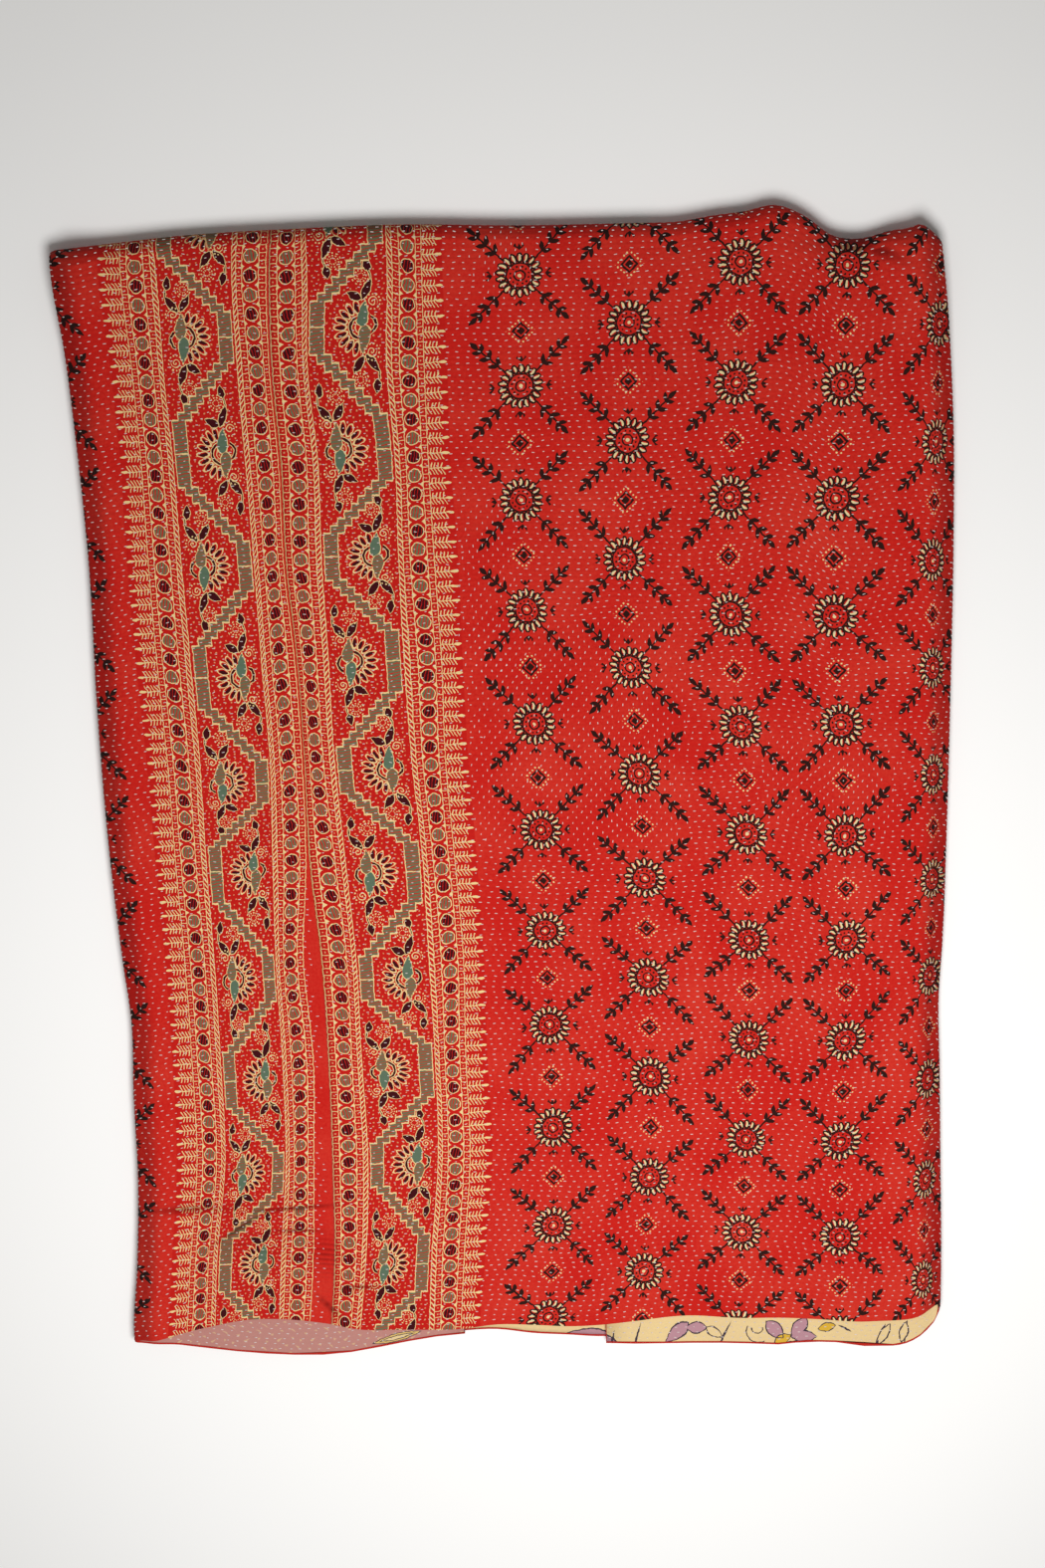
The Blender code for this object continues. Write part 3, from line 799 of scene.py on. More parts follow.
# The borders on both sides of the garland: ferns, small squares, a row of filled rings, squares and a rope.
BORDER_PRINT = TURNED + """
s = min(p, 189 - p)
far = p > 94
fern = mod(q + 3 * far, 14.6) - 7.3
up = fern > 0
tip = square(s - 4.2) / 16 + square(fern) / 1.7 < 1
stem = (abs(fern) < 0.4) * (s > 5)
leaf = s + abs(fern) * (0.65 - 0.4 * up) - 9.6
leaves = (frac(leaf / 3.5) < 0.31) * (leaf > 0) * (abs(fern) < 6.2 - up)
ferns = max(tip, stem, leaves) * (s < 22)
rail = min(abs(s - 22.6), abs(s - 28.9), abs(s - 45.8), abs(s - 52.7))
cell = min(abs(s - 25.7), abs(s - 49.2))
crossing = abs(mod(q, 7.1) - 3.55)
window = max(cell, abs(mod(q + 3.55, 7.1) - 3.55)) < 0.7
squares = max(rail < 0.37, (cell < 3.2) * (crossing < 0.36), window * 0.55)
x = s - 37.4
turn = q + 7 * far
y = mod(turn, 18.2) - 9.1
r = hypot(x, y)
ring = abs(r - 6.5) < 0.46
filler = (r > 10.3) * (abs(x) < 8.2)
rope = s - 55
strand = (abs(rope) < 2.1) * (frac((q - 1.3 * rope) / 5.7) < 0.33)
ropes = max(abs(rope - 2.4) < 0.38, strand)
cream = max(ferns, squares, ring, filler, ropes)
inside = r < 6.05
hatch = frac((s + 0.2 * q) / 3.1)
second = mod(floor(turn / 18.2), 2) > 0.5
dark = inside * second * (hatch < 0.8)
hatched = inside * (1 - second) * (hatch < 0.66)
"""

# Leaves of the garland's fan flowers: middle, direction, length, width, and taper towards its far end.
Leaf = namedtuple("Leaf", "x y angle length width taper")
SPINE = [Leaf(0.6, 11.5, 97, 25, 9.0, 0.6), Leaf(-0.8, -11.5, -84, 25, 9.5, 0.6)]
LEAVES = [
    Leaf(-2.0, 34.0, 112, 21, 7.0, 0.1), Leaf(9.5, 28.5, 28, 15, 7.5, 0.3),
    Leaf(-2.5, 57.0, 80, 12, 6.5, 0.3), Leaf(4.5, -33.5, -56, 18, 7.0, 0.2),
    Leaf(-9.0, -32.5, -128, 19, 7.0, 0.2), Leaf(-11.5, -52.5, -82, 13, 6.5, 0.3),
    Leaf(-14.3, -43.0, -85, 9, 1.2, 0.0), Leaf(-5.0, 48.0, 75, 9, 1.2, 0.0),
]


def leaf_lines(name, leaves):
    """Arithmetic for the distance outside the nearest of several leaves, in mm."""
    lines = []
    for n, leaf in enumerate(leaves):
        c, s = math.cos(math.radians(leaf.angle)), math.sin(math.radians(leaf.angle))
        dx, dy, half = f"(x - {leaf.x})", f"(y - {leaf.y})", leaf.length / 2
        along = f"along = ({dx} * {c / half:.5f} + {dy} * {s / half:.5f})"
        over = f"over = abs({dy} * {c:.5f} - {dx} * {s:.5f}) * (1 + {leaf.taper} * along)"
        gap = f"(over + (along * along - 1) * {leaf.width / 2})"
        lines += [along, over, f"{name} = {gap}" if n == 0 else f"{name} = min({name}, {gap})"]
    return "\n".join(lines).replace("- -", "+ ") + "\n"


# The garland between the ropes: a stepped band that zigzags round fan-shaped flowers on leafy spines.
GARLAND_PRINT = TURNED + """
across = p - 94.75
""" + "".join(f"""
m{n} = abs(mod(q - fan - {shift}, fan_repeat) - fan_pitch)
c{n} = 27 - 6.75 * min(max(floor((m{n} - 24) / 7.44) + 1, 0), 8)
""" for n, shift in enumerate((0, -0.8, 0.8))) + """
low = min(c0, c1, c2)
high = max(c0, c1, c2)
band_out = (across > low - 7.25) * (across < high + 7.25)
band = (across > high - 6.4) * (across < low + 6.4)
bar = min(m0, fan_pitch - m0) < 0.6
stripe = frac((q + 0.15 * p) / 3) < 0.24
side = across > c0
x = across * (1 - 2 * side) + 16
y = (mod(q - fan + side * fan_pitch, fan_repeat) - fan_pitch) * (1 - 2 * side)
""" + leaf_lines("spine", SPINE) + leaf_lines("leaf", LEAVES) + """
fx = x - 2.6
fy = y + 1
angle = atan2(fy, fx)
r = hypot(fx, fy)
petal_across = (frac(angle * 2.94 + 0.5) - 0.5) * r * 0.34
behind = (abs(angle) > 1.6) * 9
petal = square(petal_across) / 9.2 + square(r - 19) / 50 + behind
slit = square(petal_across + 0.5) / 2.9 + square(r - 18.1) / 22 < 1
arc = abs(r - 9.6) + behind
inner_arc = abs(r - 5) + behind
back = abs(hypot(x + 3.5, y - 1.5) - 8) + (x > -6.5) * 9
curl_x = x + 8
curl_y = abs(y) - 22.5
curl = hypot(curl_x, curl_y)
curl_turn = atan2(curl_y, curl_x) * 0.1592
curls = (frac(curl / 3 - curl_turn) < 0.31) * (curl < 4.8)
beads = (abs(curl - 7) < 0.7) * (frac(curl_turn * 13) < 0.42)
dots_y = abs(y) - 46.5
dots_x = x - 3.5
dots_r = hypot(dots_x, dots_y)
dots_angle = atan2(dots_y, dots_x)
dots = (dots_r < 9.5) * (dots_r > 2.4) * (frac(dots_r / 2.4) < 0.5) * (frac(dots_angle * 1.75) < 0.42)
speck_q = (q + 1.1 * sin(p * 0.21)) / 4.7
speck_row = floor(speck_q)
speck_y = frac(speck_q) - 0.5
speck_x = frac(p / 5.9 + 0.38 * speck_row + 0.2 * sin(speck_row * 2.3)) - 0.5
speck = (abs(speck_x) < 0.12) * (abs(speck_y) < 0.15) * (dots_r > 11) * (curl > 9) * (abs(across) < 36)
flower_out = max(spine < 0.68, leaf < 0.7, petal < 0.94, arc < 1.9, inner_arc < 0.4, back < 1.75)
flower = max(spine < 0, leaf < 0, petal < 0.54, arc < 1.1, back < 1.1)
free = 1 - band_out
print_lines = max(flower_out - flower, curls, beads, dots, 0.5 * speck * (1 - flower_out))
cream = max(max(band_out - band, band * bar), free * print_lines)
on_spine = free * (spine < 0)
olive = max(band * (1 - bar), on_spine * (y < 1))
teal = on_spine * (y > 0) * 0.9
dark = free * max(leaf < 0, (petal < 0.5) * slit, arc < 1.1, back < 1.1) * (1 - (spine < 0.9))
striped = stripe * olive * (1 - 0.4 * free)
"""


def empty_material(name):
    material = bpy.data.materials.new(name)
    material.use_nodes = True
    material.node_tree.nodes.clear()
    return material, material.node_tree


# Sizes in mm of the cloth's unevenness: how finely printed edges wander, fading, slubs and puffs.
BLEED_SIZE, FADING_SIZE, SLUB_SIZE, PUFF_SIZE = 4.545, 83.33, 2.857, 5.882
BLEED = 2.2            # width of the band in which an edge wanders, most of it within a third of a millimetre
WEAVE_PITCH = 1.3      # real threads lie 0.5 mm apart, too close to show


def cotton(name, pattern, layers, ground, worn):
    """Hand-block-printed cotton, washed soft: matt, with a thin bloom of raised fibres at glancing angles."""
    colours = bpy.context.scene.quilt_colours
    material, tree = empty_material(name)
    place = add_node(tree, "ShaderNodeAttribute", {"attribute_name": "print_place_and_painted_shade"}).outputs["Vector"]
    longer = add_node(tree, "ShaderNodeVectorMath", {"operation": "MULTIPLY"}, i0=place, i1=(0.5, 1.0, 0.0))
    # Fading in soft areas a hand wide, slubs of a few millimetres where single threads took less dye, and
    # pillows between stitches, longer along the rows, where cloth puffs up a few tenths of a millimetre.
    bleed, fading, slubs, puffs = (
        add_node(tree, "ShaderNodeTexNoise", Vector=at, Scale=1 / size, Detail=detail).outputs
        for at, size, detail in ((place, BLEED_SIZE, 1.0), (place, FADING_SIZE, 2.0), (place, SLUB_SIZE, 2.0),
                                 (longer.outputs[0], PUFF_SIZE, 1.0)))
    # Printed edges wander, as ink does in cloth.
    shifted = add_node(tree, "ShaderNodeVectorMath", {"operation": "MULTIPLY_ADD"}, i0=bleed["Color"],
                       i1=(BLEED, BLEED, 0.0), i2=place)
    apart = add_node(tree, "ShaderNodeSeparateXYZ", Vector=shifted.outputs[0])
    known = draw(tree, "p = x - bleed / 2\nq = y - bleed / 2", x=apart.outputs["X"], y=apart.outputs["Y"],
                 bleed=BLEED)
    p, q = known["p"], known["q"]
    drawn = draw(tree, pattern, p=p, q=q, **PRINT_SIZES)
    wear = draw(tree, "wear = min(max((fading - 0.38) * 2.2 + (slubs - 0.5) * 1.3, 0), 1)",
                fading=fading[0], slubs=slubs[0])["wear"]
    # Painted shade: the folds and creases are darkened by the shade tint, as much as the place's third value
    # says.
    steps_of_colour = [(wear, worn, "MIX"), *((drawn[mask], colour, "MIX") for mask, colour in layers),
                       (apart.outputs["Z"], "soil", "MULTIPLY")]
    mixed = (*getattr(colours, ground), 1.0)
    for share, colour, blend in steps_of_colour:
        mixed = add_node(tree, "ShaderNodeMix", {"data_type": "RGBA", "blend_type": blend}, i0=share,
                         i6=mixed, i7=(*getattr(colours, colour), 1.0)).outputs[2]
    # Plain weave.
    weave = draw(tree, "weave = sin(p * thread) * sin(q * thread) + slubs * 2 + puffs * 9", p=p, q=q,
                 thread=TAU / WEAVE_PITCH, slubs=slubs[0], puffs=puffs[0])["weave"]
    bump = add_node(tree, "ShaderNodeBump", Strength=0.5, Distance=0.0002, Height=weave)
    shader = add_node(tree, "ShaderNodeBsdfPrincipled", Base_Color=mixed, Normal=bump.outputs["Normal"],
                      Roughness=0.92, IOR=1.46, Specular_IOR_Level=0.15, Sheen_Weight=0.04,
                      Sheen_Roughness=0.5)
    add_node(tree, "ShaderNodeOutputMaterial", Surface=shader.outputs["BSDF"])
    return material


# Flowers of the backing where it shows under the front hem, in the same x and y as the outline tables.
LILAC_PETALS = [
    Leaf(56, -593, -8, 54, 17, -0.3), Leaf(148, -588, 43, 33, 14, -0.4), Leaf(169, -583, 0, 22, 13, 0.0),
    Leaf(253, -588, -50, 27, 15, 0.2), Leaf(279, -586, 50, 25, 14, -0.2), Leaf(284, -597, -3, 28, 13, 0.0),
    Leaf(274, -607, 0, 30, 9, 0.0), Leaf(4, -593, 0, 14, 9, 0.0),
]
DRAWN_LEAVES = [
    Leaf(188, -589, -35, 21, 10, 0.2), Leaf(190, -591, -35, 17, 4.5, 0.0), Leaf(370, -597, 62, 27, 9, 0.0),
    Leaf(366, -598, 68, 24, 2.5, 0.0), Leaf(391, -594, 78, 24, 9, 0.0), Leaf(393, -594, 84, 22, 2, 0.0),
    Leaf(328, -589, -30, 11, 1.0, 0.0), Leaf(104, -596, 75, 28, 0.9, 0.0), Leaf(78, -597, 76, 18, 0.9, 0.0),
    Leaf(198, -594, 64, 25, 0.9, 0.0), Leaf(262, -606, -6, 40, 0.9, 0.0),
]
YELLOW_HEARTS = [Leaf(262, -599, 24, 20, 11, 0.3), Leaf(309, -587, 12, 19, 10, 0.0)]
BACKING_FLOWERS = [("petal", LILAC_PETALS), ("leaf", DRAWN_LEAVES), ("heart", YELLOW_HEARTS)]
BACKING_PRINT = """
x = p
y = q
long = ((x + 152) * 0.97 + (y + 584) * 0.24) / 28
wide = abs((y + 584) * 0.97 - (x + 152) * 0.24) / 4.6 + square(long)
leaf_left = wide < 1
leaf_lines = max(abs(wide - 0.95) < 0.12, abs(wide - 0.45) < 0.1)
""" + "".join(leaf_lines(*flower) for flower in BACKING_FLOWERS) + """
ground = (x < -79) * (1 - leaf_left)
fleck = frac(x * 0.083 + sin(y * 0.21) * 0.4) * frac(y * 0.11 + sin(x * 0.17) * 0.3) > 0.7
rose = ground * (1 - 0.45 * fleck)
lilac = (petal < 0) * (heart > 0)
yellow = max(heart < 0, leaf_left * (wide > 0.5) * 0.5)
arc_x = x - 236
arc_y = y + 589
arc_r = hypot(arc_x, arc_y)
curl_y = y + 586
curl = (abs(hypot(x - 234, curl_y) - 6) < 0.6) * (curl_y < 1)
curve = max((abs(arc_r - 13.5) < 0.6) * (arc_y < 6) * (arc_x < 6), curl)
outline = max(leaf_left * leaf_lines, abs(petal - 0.2) < 0.75, abs(leaf) < 0.7, abs(heart) < 0.6, curve)
"""


# Per metre: tints change over a few centimetres, and the twist shows at 0.8 mm.
TINT_SCALE, TWIST_SCALE = 60.0, 200.0
GREYEST = 0.62      # the greyest threads, as a share of the whitest


def thread_cotton():
    """Twisted cotton quilting thread, undyed and a little grey with wear."""
    colours = bpy.context.scene.quilt_colours
    material, tree = empty_material("twisted_cotton_thread")
    place = add_node(tree, "ShaderNodeTexCoord").outputs["Object"]
    tint = add_node(tree, "ShaderNodeTexNoise", Vector=place, Scale=TINT_SCALE, Detail=2.0)
    twist = add_node(tree, "ShaderNodeTexWave", Vector=place, Scale=TWIST_SCALE)
    aged = add_node(tree, "ShaderNodeMix", {"data_type": "RGBA"}, i0=tint.outputs[0],
                    i6=(*colours.thread, 1.0), i7=(*(GREYEST * c for c in colours.thread), 1.0)).outputs[2]
    bump = add_node(tree, "ShaderNodeBump", Strength=0.3, Distance=0.0002, Height=twist.outputs["Fac"])
    shader = add_node(tree, "ShaderNodeBsdfPrincipled", Base_Color=aged, Normal=bump.outputs["Normal"],
                      Roughness=0.7, IOR=1.5, Specular_IOR_Level=0.35, Sheen_Weight=0.1, Sheen_Roughness=0.4)
    add_node(tree, "ShaderNodeOutputMaterial", Surface=shader.outputs["BSDF"])
    return material


# The cottons: name, print, the print's masks with their dyes from the first printed to the last, the ground's
# dye, and its dye where worn.
Cotton = namedtuple("Cotton", "name pattern layers ground worn")
COTTONS = {
    "field": Cotton("block_printed_cotton_field", FIELD_PRINT,
                    [("black", "black"), ("petal", "red"), ("cream", "petal"), ("seed", "cream")],
                    "red", "faded"),
    "border": Cotton("block_printed_cotton_border", BORDER_PRINT,
                     [("dark", "maroon"), ("hatched", "olive"), ("cream", "cream")], "deep", "red"),
    "garland": Cotton("block_printed_cotton_garland", GARLAND_PRINT,
                      [("olive", "olive"), ("teal", "teal"), ("striped", "deep"), ("dark", "maroon"),
                       ("cream", "cream")], "deep", "red"),
    "plain": Cotton("dyed_cotton_plain", "", [], "red", "faded"),
    "backing": Cotton("printed_cotton_backing", BACKING_PRINT,
                      [(dye_name, dye_name) for dye_name in ("rose", "lilac", "yellow", "outline")],
                      "ground", "cream"),
}


# Stitches --------------------------------------------------------------------------------------------------

# Patches quilted from hem to fold: middle, half sizes, and how far their stitches are turned from the rows.
Patch = namedtuple("Patch", "x y half_width half_height turn")
PATCHES = [
    Patch(55, 71, 108, 112, 78), Patch(-27, 220, 22, 87, 86), Patch(309, 13, 64, 44, 80),
    Patch(-4, 534, 24, 33, 84),
]
# A patch's edges stray from row to row in waves: height in mm, turn for each mm up, and for each mm across.
EdgeWave = namedtuple("EdgeWave", "height turn_up turn_across")
EDGE_WAVES = [EdgeWave(9, 0.7, 1), EdgeWave(6, 0.31, 0)]
FAR_EDGE_SHARE = 0.7   # how much of this its far edge strays
ROW_END = 4.0      # a row's last stitch starts at least this far from its end


def patch_edges(patch, y):
    """Where a patch begins and ends along a row at height y, uneven from row to row, or None beside it."""
    if abs(y - patch.y) > patch.half_height:
        return None
    stray = sum(wave.height * math.sin(wave.turn_up * y + wave.turn_across * patch.x) for wave in EDGE_WAVES)
    return patch.x - patch.half_width + stray, patch.x + patch.half_width + FAR_EDGE_SHARE * stray


def stitch_places(line, phase, pitch, rng):
    """Places of the stitches along a row of cloth, each with its turn from the row."""
    run = np.concatenate([[0.0], np.cumsum(np.linalg.norm(np.diff(line, axis=0), axis=1))])
    spans = []
    for patch in PATCHES:
        edges = patch_edges(patch, line[len(line) // 2, 1] + TABLE_MIDDLE[1])
        if edges:
            enter, leave = (run[np.argmin(np.abs(line[:, 0] + TABLE_MIDDLE[0] - x))] for x in edges)
            if leave > enter:
                spans.append((enter, leave, patch.turn))
    places = [(place, 0.0) for place in np.arange(rng.uniform(0, pitch), run[-1] - ROW_END, pitch)
              if not any(enter < place < leave for enter, leave, _ in spans)]
    for enter, leave, turn in spans:
        first = enter - (enter - pitch / 2 * (phase % 2)) % pitch + pitch
        places += [(place, math.radians(turn)) for place in np.arange(first, leave, pitch)]
    return run, places


def row_of_cloth(surface, cloth, phase, first, last):
    """The line of cloth under one row of stitches, and directions out of the cloth along it."""
    phases = cloth.rows.phase
    i = int(np.clip(np.searchsorted(-phases, -phase) - 1, 0, len(phases) - 2))
    share = (phases[i] - phase) / (phases[i] - phases[i + 1])
    line = surface[i] + share * (surface[i + 1] - surface[i])
    out = -(cloth.into[i] + share * (cloth.into[i + 1] - cloth.into[i]))
    return line[first:last], out[first:last]


SEWN_TURN = 2.4     # folds are sewn up to this turn, and not beneath, where the quilt lies on them
# Rings of a stitch: place along it and half width, as shares of its length and width, and height.
StitchRing = namedtuple("StitchRing", "place half height")
STITCH_RINGS = [StitchRing(-0.5, 0.0, -0.25), StitchRing(-0.27, 0.5, 0.32), StitchRing(0.27, 0.5, 0.32),
                StitchRing(0.5, 0.0, -0.25)]
THREAD_FOR_HEIGHT = 0.55     # the width of thread at which the rings have just these heights


def stitch_body(middle, along, sideways, out, length, width):
    """Points of one stitch: a low rounded bar that dips into the cloth at its ends."""
    points = []
    for ring in STITCH_RINGS:
        centre, aside = middle + along * length * ring.place, sideways * width * ring.half
        if ring.half == 0.0:
            points.append(centre + out * ring.height)
        else:
            points += [centre + aside, centre + out * ring.height * width / THREAD_FOR_HEIGHT, centre - aside]
    return points


# Faces of a stitch: its two ends are points 0 and 7, and between them are rings of three.
STITCH_FACES = [(0, 2, 1), (0, 3, 2), (1, 2, 5, 4), (2, 3, 6, 5), (7, 4, 5), (7, 5, 6), (0, 1, 4, 7),
                (0, 7, 6, 3)]
# How unlike each other hand-sewn stitches are: how far they stray along the row in mm, their shortest and
# longest as shares of the stitch length, and how far they lean in degrees.
STRAY, SHORTEST, LONGEST, LEAN = 0.6, 0.62, 1.25, 8


def value_at(place, run, values):
    """One of a line's values at a place along it, run being how far along each of them is."""
    return np.array([np.interp(place, run, values[:, axis]) for axis in range(3)])


def sew(name, cloth, surface, side_sign, first, last, phases, seed):
    """Running stitches over part of a cloth, one small body for each, joined in one mesh.

    first and last are columns, phases the rows, and side_sign is -1 where they're on the cloth's inner side.
    """
    sizes = bpy.context.scene.quilt_sizes
    pitch, length, width = (v / METRE for v in (sizes.stitch_pitch, sizes.stitch_length, sizes.thread_width))
    rng = np.random.default_rng(seed)
    points, faces = [], []
    for phase in phases:
        line, out = row_of_cloth(surface, cloth, phase, first, last)
        run, places = stitch_places(line, phase, pitch, rng)
        for place, turn in places:
            place += rng.normal(0, STRAY)
            size = length * rng.uniform(SHORTEST, LONGEST)
            middle, normal = value_at(place, run, line), side_sign * value_at(place, run, out)
            along = value_at(place + 1, run, line) - middle
            along = along / max(np.linalg.norm(along), 1e-6)
            sideways = np.cross(normal, along)
            lean = turn + math.radians(rng.normal(0, LEAN))
            along, sideways = (along * math.cos(lean) + sideways * math.sin(lean),
                               sideways * math.cos(lean) - along * math.sin(lean))
            faces += [tuple(len(points) + v for v in face) for face in STITCH_FACES]
            points += stitch_body(middle, along, sideways, normal, size, width)
    mesh = bpy.data.meshes.new(name)
    mesh.from_pydata((np.array(points) * METRE).tolist(), [], faces)
    mesh.shade_smooth()
    return add_object(name, mesh)


# Operators -------------------------------------------------------------------------------------------------

made = {}       # what the operators share: cottons, cloths, their surfaces and pieces


def panel_cloths(fine):
    """The left and the right panel's cloth."""
    spacing = bpy.context.scene.quilt_sizes.row_spacing / METRE
    return (lay_cloth(left_columns(), cloth_rows(spacing, fine, CREASED)),
            lay_cloth(right_columns(), cloth_rows(spacing, fine)))


# On the side that doesn't show, one in so many columns, and rows of a panel and of the backing, is kept.
KEPT_COLUMNS, KEPT_PANEL_ROWS, KEPT_BACKING_ROWS = 2, 6, 3
KEPT_BY_HEM = 4        # rows kept beside each turned hem


def columns_to_keep(columns):
    return kept_steps(["fold" in column.span for column in columns], KEPT_COLUMNS)


def first_of(columns, wanted):
    return next(n for n, column in enumerate(columns) if wanted(column))


def make_panel(name, cloth, node):
    """One face panel as a closed sheet that replaces its solid."""
    outer, inner, prints = face_sides(cloth, bpy.context.scene.quilt_sizes.ripple / METRE)
    hem_rows, count = len(HEM_SECTION), outer.shape[0]
    near_end = np.minimum(np.arange(count), np.arange(count)[::-1]) < hem_rows + KEPT_BY_HEM
    kept = np.pad((cloth.rows.kind != FRONT) | creased_rows(cloth), hem_rows, constant_values=True)
    zones = ["field", "border", "garland", "plain"]
    panel = closed_sheet(name, outer, inner, prints, kept_steps(kept | near_end, KEPT_PANEL_ROWS),
                         columns_to_keep(cloth.columns),
                         [zones.index(column.zone) for column in cloth.columns[:-1]],
                         [made["cottons"][zone] for zone in zones])
    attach(panel, "root")
    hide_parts(node)
    made[name] = panel
    made[name + "_surface"] = outer[hem_rows:count - hem_rows]


class QUILT_OT_panels(bpy.types.Operator):
    """Lays the two printed panels of the face"""
    bl_idname = "quilt.panels"
    bl_label = "Face panels"

    def execute(self, context):
        made["cottons"] = {name: cotton(*kind) for name, kind in COTTONS.items()}
        made["left"], made["right"] = panel_cloths(fine=True)
        make_panel("left_panel", made["left"], "face_panel_left")
        make_panel("right_panel", made["right"], "face_panel_right")
        return {"FINISHED"}


class QUILT_OT_backing(bpy.types.Operator):
    """Lays the backing under the face"""
    bl_idname = "quilt.backing"
    bl_label = "Backing"

    def execute(self, context):
        left, right = panel_cloths(fine=False)
        seam = first_of(left.columns, lambda column: column.span == "wedge")
        columns = left.columns[:seam] + right.columns
        points = np.concatenate([left.points[:, :seam], right.points], axis=1)
        into = inward(points)
        ripple = BACKING_RIPPLE * context.scene.quilt_sizes.ripple / METRE * np.cos(TAU * left.rows.phase)
        depth = BACKING_INNER - ripple * left.rows.front
        shown, hidden = points + into * depth[:, None, None], points + into * BACKING_OUTER
        for grid in (shown, hidden):
            draw_in(grid, HEM_SETBACK)
        made["backing_surface"] = shown
        made["backing_cloth"] = Cloth(points, into, None, columns, left.rows)
        # Facing the other way, so the sheet's shown side looks inwards.
        shown, hidden = shown[:, ::-1], hidden[:, ::-1]
        kept = (left.rows.kind != FRONT) | creased_rows(left) | creased_rows(right)
        backing = closed_sheet("backing_sheet", shown, hidden, shown * (1, 1, 0) + (*TABLE_MIDDLE, 0.0),
                               kept_steps(kept, KEPT_BACKING_ROWS), columns_to_keep(columns[::-1]),
                               [0] * (len(columns) - 1), [made["cottons"]["backing"]])
        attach(backing, "root")
        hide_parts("backing")
        made["backing_sheet"] = backing
        return {"FINISHED"}


# The last row of stitches is on the underside of the top fold, above where the quilt lies on it.
LAST_ROW = -4
FLAP_ROWS = 9          # rows of stitches on the flaps, as far as they show under the front hem


class QUILT_OT_stitches(bpy.types.Operator):
    """Sews the rows of running stitch through the layers"""
    bl_idname = "quilt.stitches"
    bl_label = "Running stitches"

    def execute(self, context):
        left, right, backing = made["left"], made["right"], made["backing_cloth"]
        top_row = math.floor(left.rows.phase[0]) - 1
        rows, flap_rows = range(top_row, LAST_ROW - 1, -1), range(top_row, top_row - FLAP_ROWS, -1)
        left_start = first_of(left.columns, lambda column: column.turn < SEWN_TURN)
        right_end = first_of(right.columns, lambda column: column.turn >= SEWN_TURN)
        fold_start = first_of(backing.columns, lambda column: column.span == "left fold")
        flap_start = first_of(backing.columns, lambda column: column.span == "right flap")
        sewn = [
            sew("left_stitches", left, made["left_panel_surface"], 1, left_start, -1, rows, 3),
            sew("right_stitches", right, made["right_panel_surface"], 1, 1, right_end, rows, 4),
            sew("left_flap_stitches", backing, made["backing_surface"], -1, 0, fold_start, flap_rows, 5),
            sew("right_flap_stitches", backing, made["backing_surface"], -1, flap_start, None, flap_rows, 6),
        ]
        thread = thread_cotton()
        for piece in sewn:
            piece.data.materials.append(thread)
            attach(piece, "root")
            made[piece.name] = piece
        return {"FINISHED"}


# Camera: its place over the table, its tilt and roll in degrees, its lens and its sensor's height.
CAMERA_PLACE = (0.0, 0.590, 2.360)
CAMERA_TILT, CAMERA_ROLL, CAMERA_LENS, SENSOR_HEIGHT = -13.6, -1.7, 54.857, 36.0
StudioLight = namedtuple("StudioLight", "name place size power")
STUDIO_LIGHTS = [StudioLight("soft_key", (0.15, -0.42, 1.58), 1.0, 28.7)]
SKY, SKY_STRENGTH = (1.0, 0.985, 0.965), 0.2       # a faint warm light from everywhere
FLOOR_HALF, FLOOR_DROP, FLOOR_ROUGHNESS = 6.0, 0.0003, 0.95


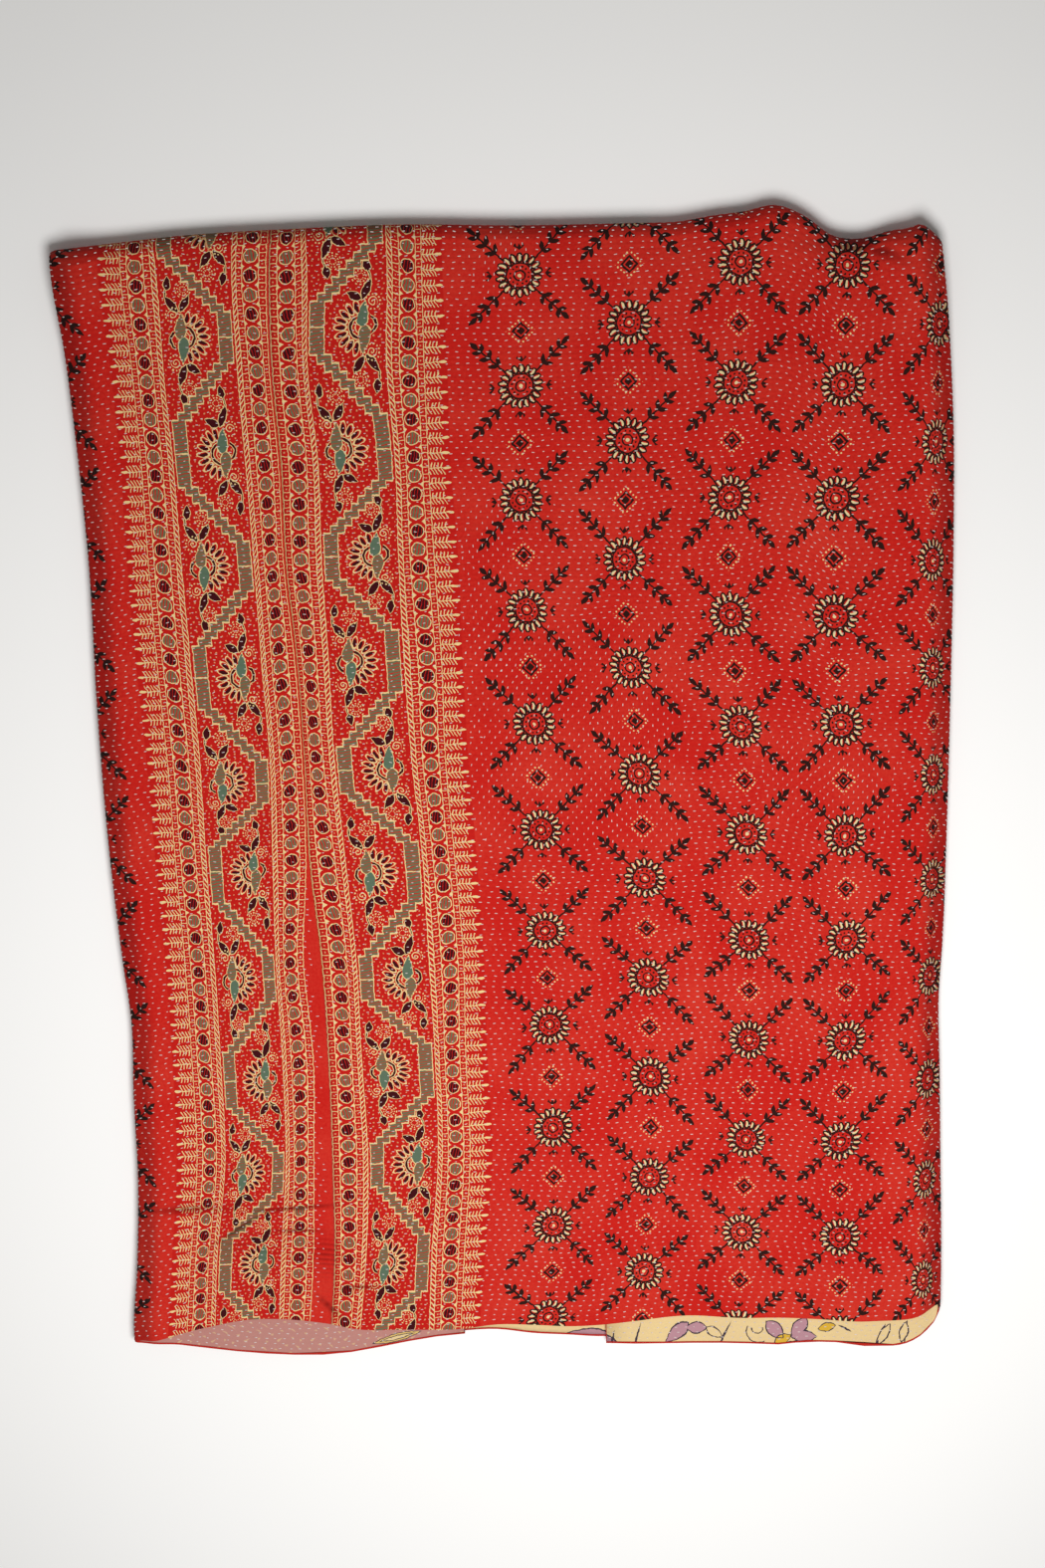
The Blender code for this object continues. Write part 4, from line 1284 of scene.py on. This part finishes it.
class QUILT_OT_stage(bpy.types.Operator):
    """Sets the pale floor, the soft lights and the camera"""
    bl_idname = "quilt.stage"
    bl_label = "Stage"

    def execute(self, context):
        scene = context.scene
        # Plain display of colours, as saturated reds lose their depth otherwise.
        scene.view_settings.view_transform = "Standard"
        corners = [(FLOOR_HALF * i, FLOOR_HALF * j, 0) for i, j in ((-1, -1), (1, -1), (1, 1), (-1, 1))]
        mesh = bpy.data.meshes.new("floor")
        mesh.from_pydata(corners, [], [range(4)])
        floor = add_object("floor", mesh)
        floor.location.z = -FLOOR_DROP
        paper = bpy.data.materials.new("matt_paper")
        paper.use_nodes = True
        shader = paper.node_tree.nodes["Principled BSDF"]
        shader.inputs["Base Color"].default_value = (*scene.quilt_colours.floor, 1.0)
        shader.inputs["Roughness"].default_value = FLOOR_ROUGHNESS
        mesh.materials.append(paper)

        world = bpy.data.worlds.new("studio")
        scene.world = world
        world.use_nodes = True
        background = world.node_tree.nodes["Background"]
        background.inputs["Color"].default_value = (*SKY, 1.0)
        background.inputs["Strength"].default_value = SKY_STRENGTH
        for light in STUDIO_LIGHTS:
            lamp = bpy.data.lights.new(light.name, "AREA")
            lamp.shape, lamp.size, lamp.energy = "DISK", light.size, light.power
            shining = add_object(light.name, lamp)
            shining.location = light.place
            shining.visible_camera = False
            direction = -shining.location.normalized()
            shining.rotation_euler = direction.to_track_quat("-Z", "Y").to_euler()

        lens = bpy.data.cameras.new("camera")
        lens.sensor_fit, lens.sensor_height, lens.lens = "VERTICAL", SENSOR_HEIGHT, CAMERA_LENS
        camera = add_object("camera", lens)
        middle = Vector((*TABLE_MIDDLE, 0.0)) * METRE
        camera.matrix_world = (Matrix.Translation(Vector(CAMERA_PLACE) - middle)
                               @ Matrix.Rotation(math.radians(CAMERA_TILT), 4, "X")
                               @ Matrix.Rotation(math.radians(CAMERA_ROLL), 4, "Z"))
        scene.camera = camera
        return {"FINISHED"}


class QUILT_PT_panel(bpy.types.Panel):
    """Sizes, colours and steps of the quilt"""
    bl_label = "Kantha quilt"
    bl_space_type = "VIEW_3D"
    bl_region_type = "UI"
    bl_category = "Quilt"

    def draw(self, context):
        for group in (context.scene.quilt_sizes, context.scene.quilt_colours):
            for name in group.__annotations__:
                self.layout.prop(group, name)
        for step in STEPS:
            self.layout.operator(step.bl_idname)


STEPS = (QUILT_OT_panels, QUILT_OT_backing, QUILT_OT_stitches, QUILT_OT_stage)
CLASSES = (QuiltSizes, QuiltColours, *STEPS, QUILT_PT_panel)


def register():
    for cls in CLASSES:
        bpy.utils.register_class(cls)
    bpy.types.Scene.quilt_sizes = PointerProperty(type=QuiltSizes)
    bpy.types.Scene.quilt_colours = PointerProperty(type=QuiltColours)


def unregister():
    del bpy.types.Scene.quilt_sizes
    del bpy.types.Scene.quilt_colours
    for cls in reversed(CLASSES):
        bpy.utils.unregister_class(cls)


def main():
    register()
    bpy.ops.quilt.panels()
    bpy.ops.quilt.backing()
    bpy.ops.quilt.stitches()
    bpy.ops.quilt.stage()


if __name__ == "__main__":
    main()
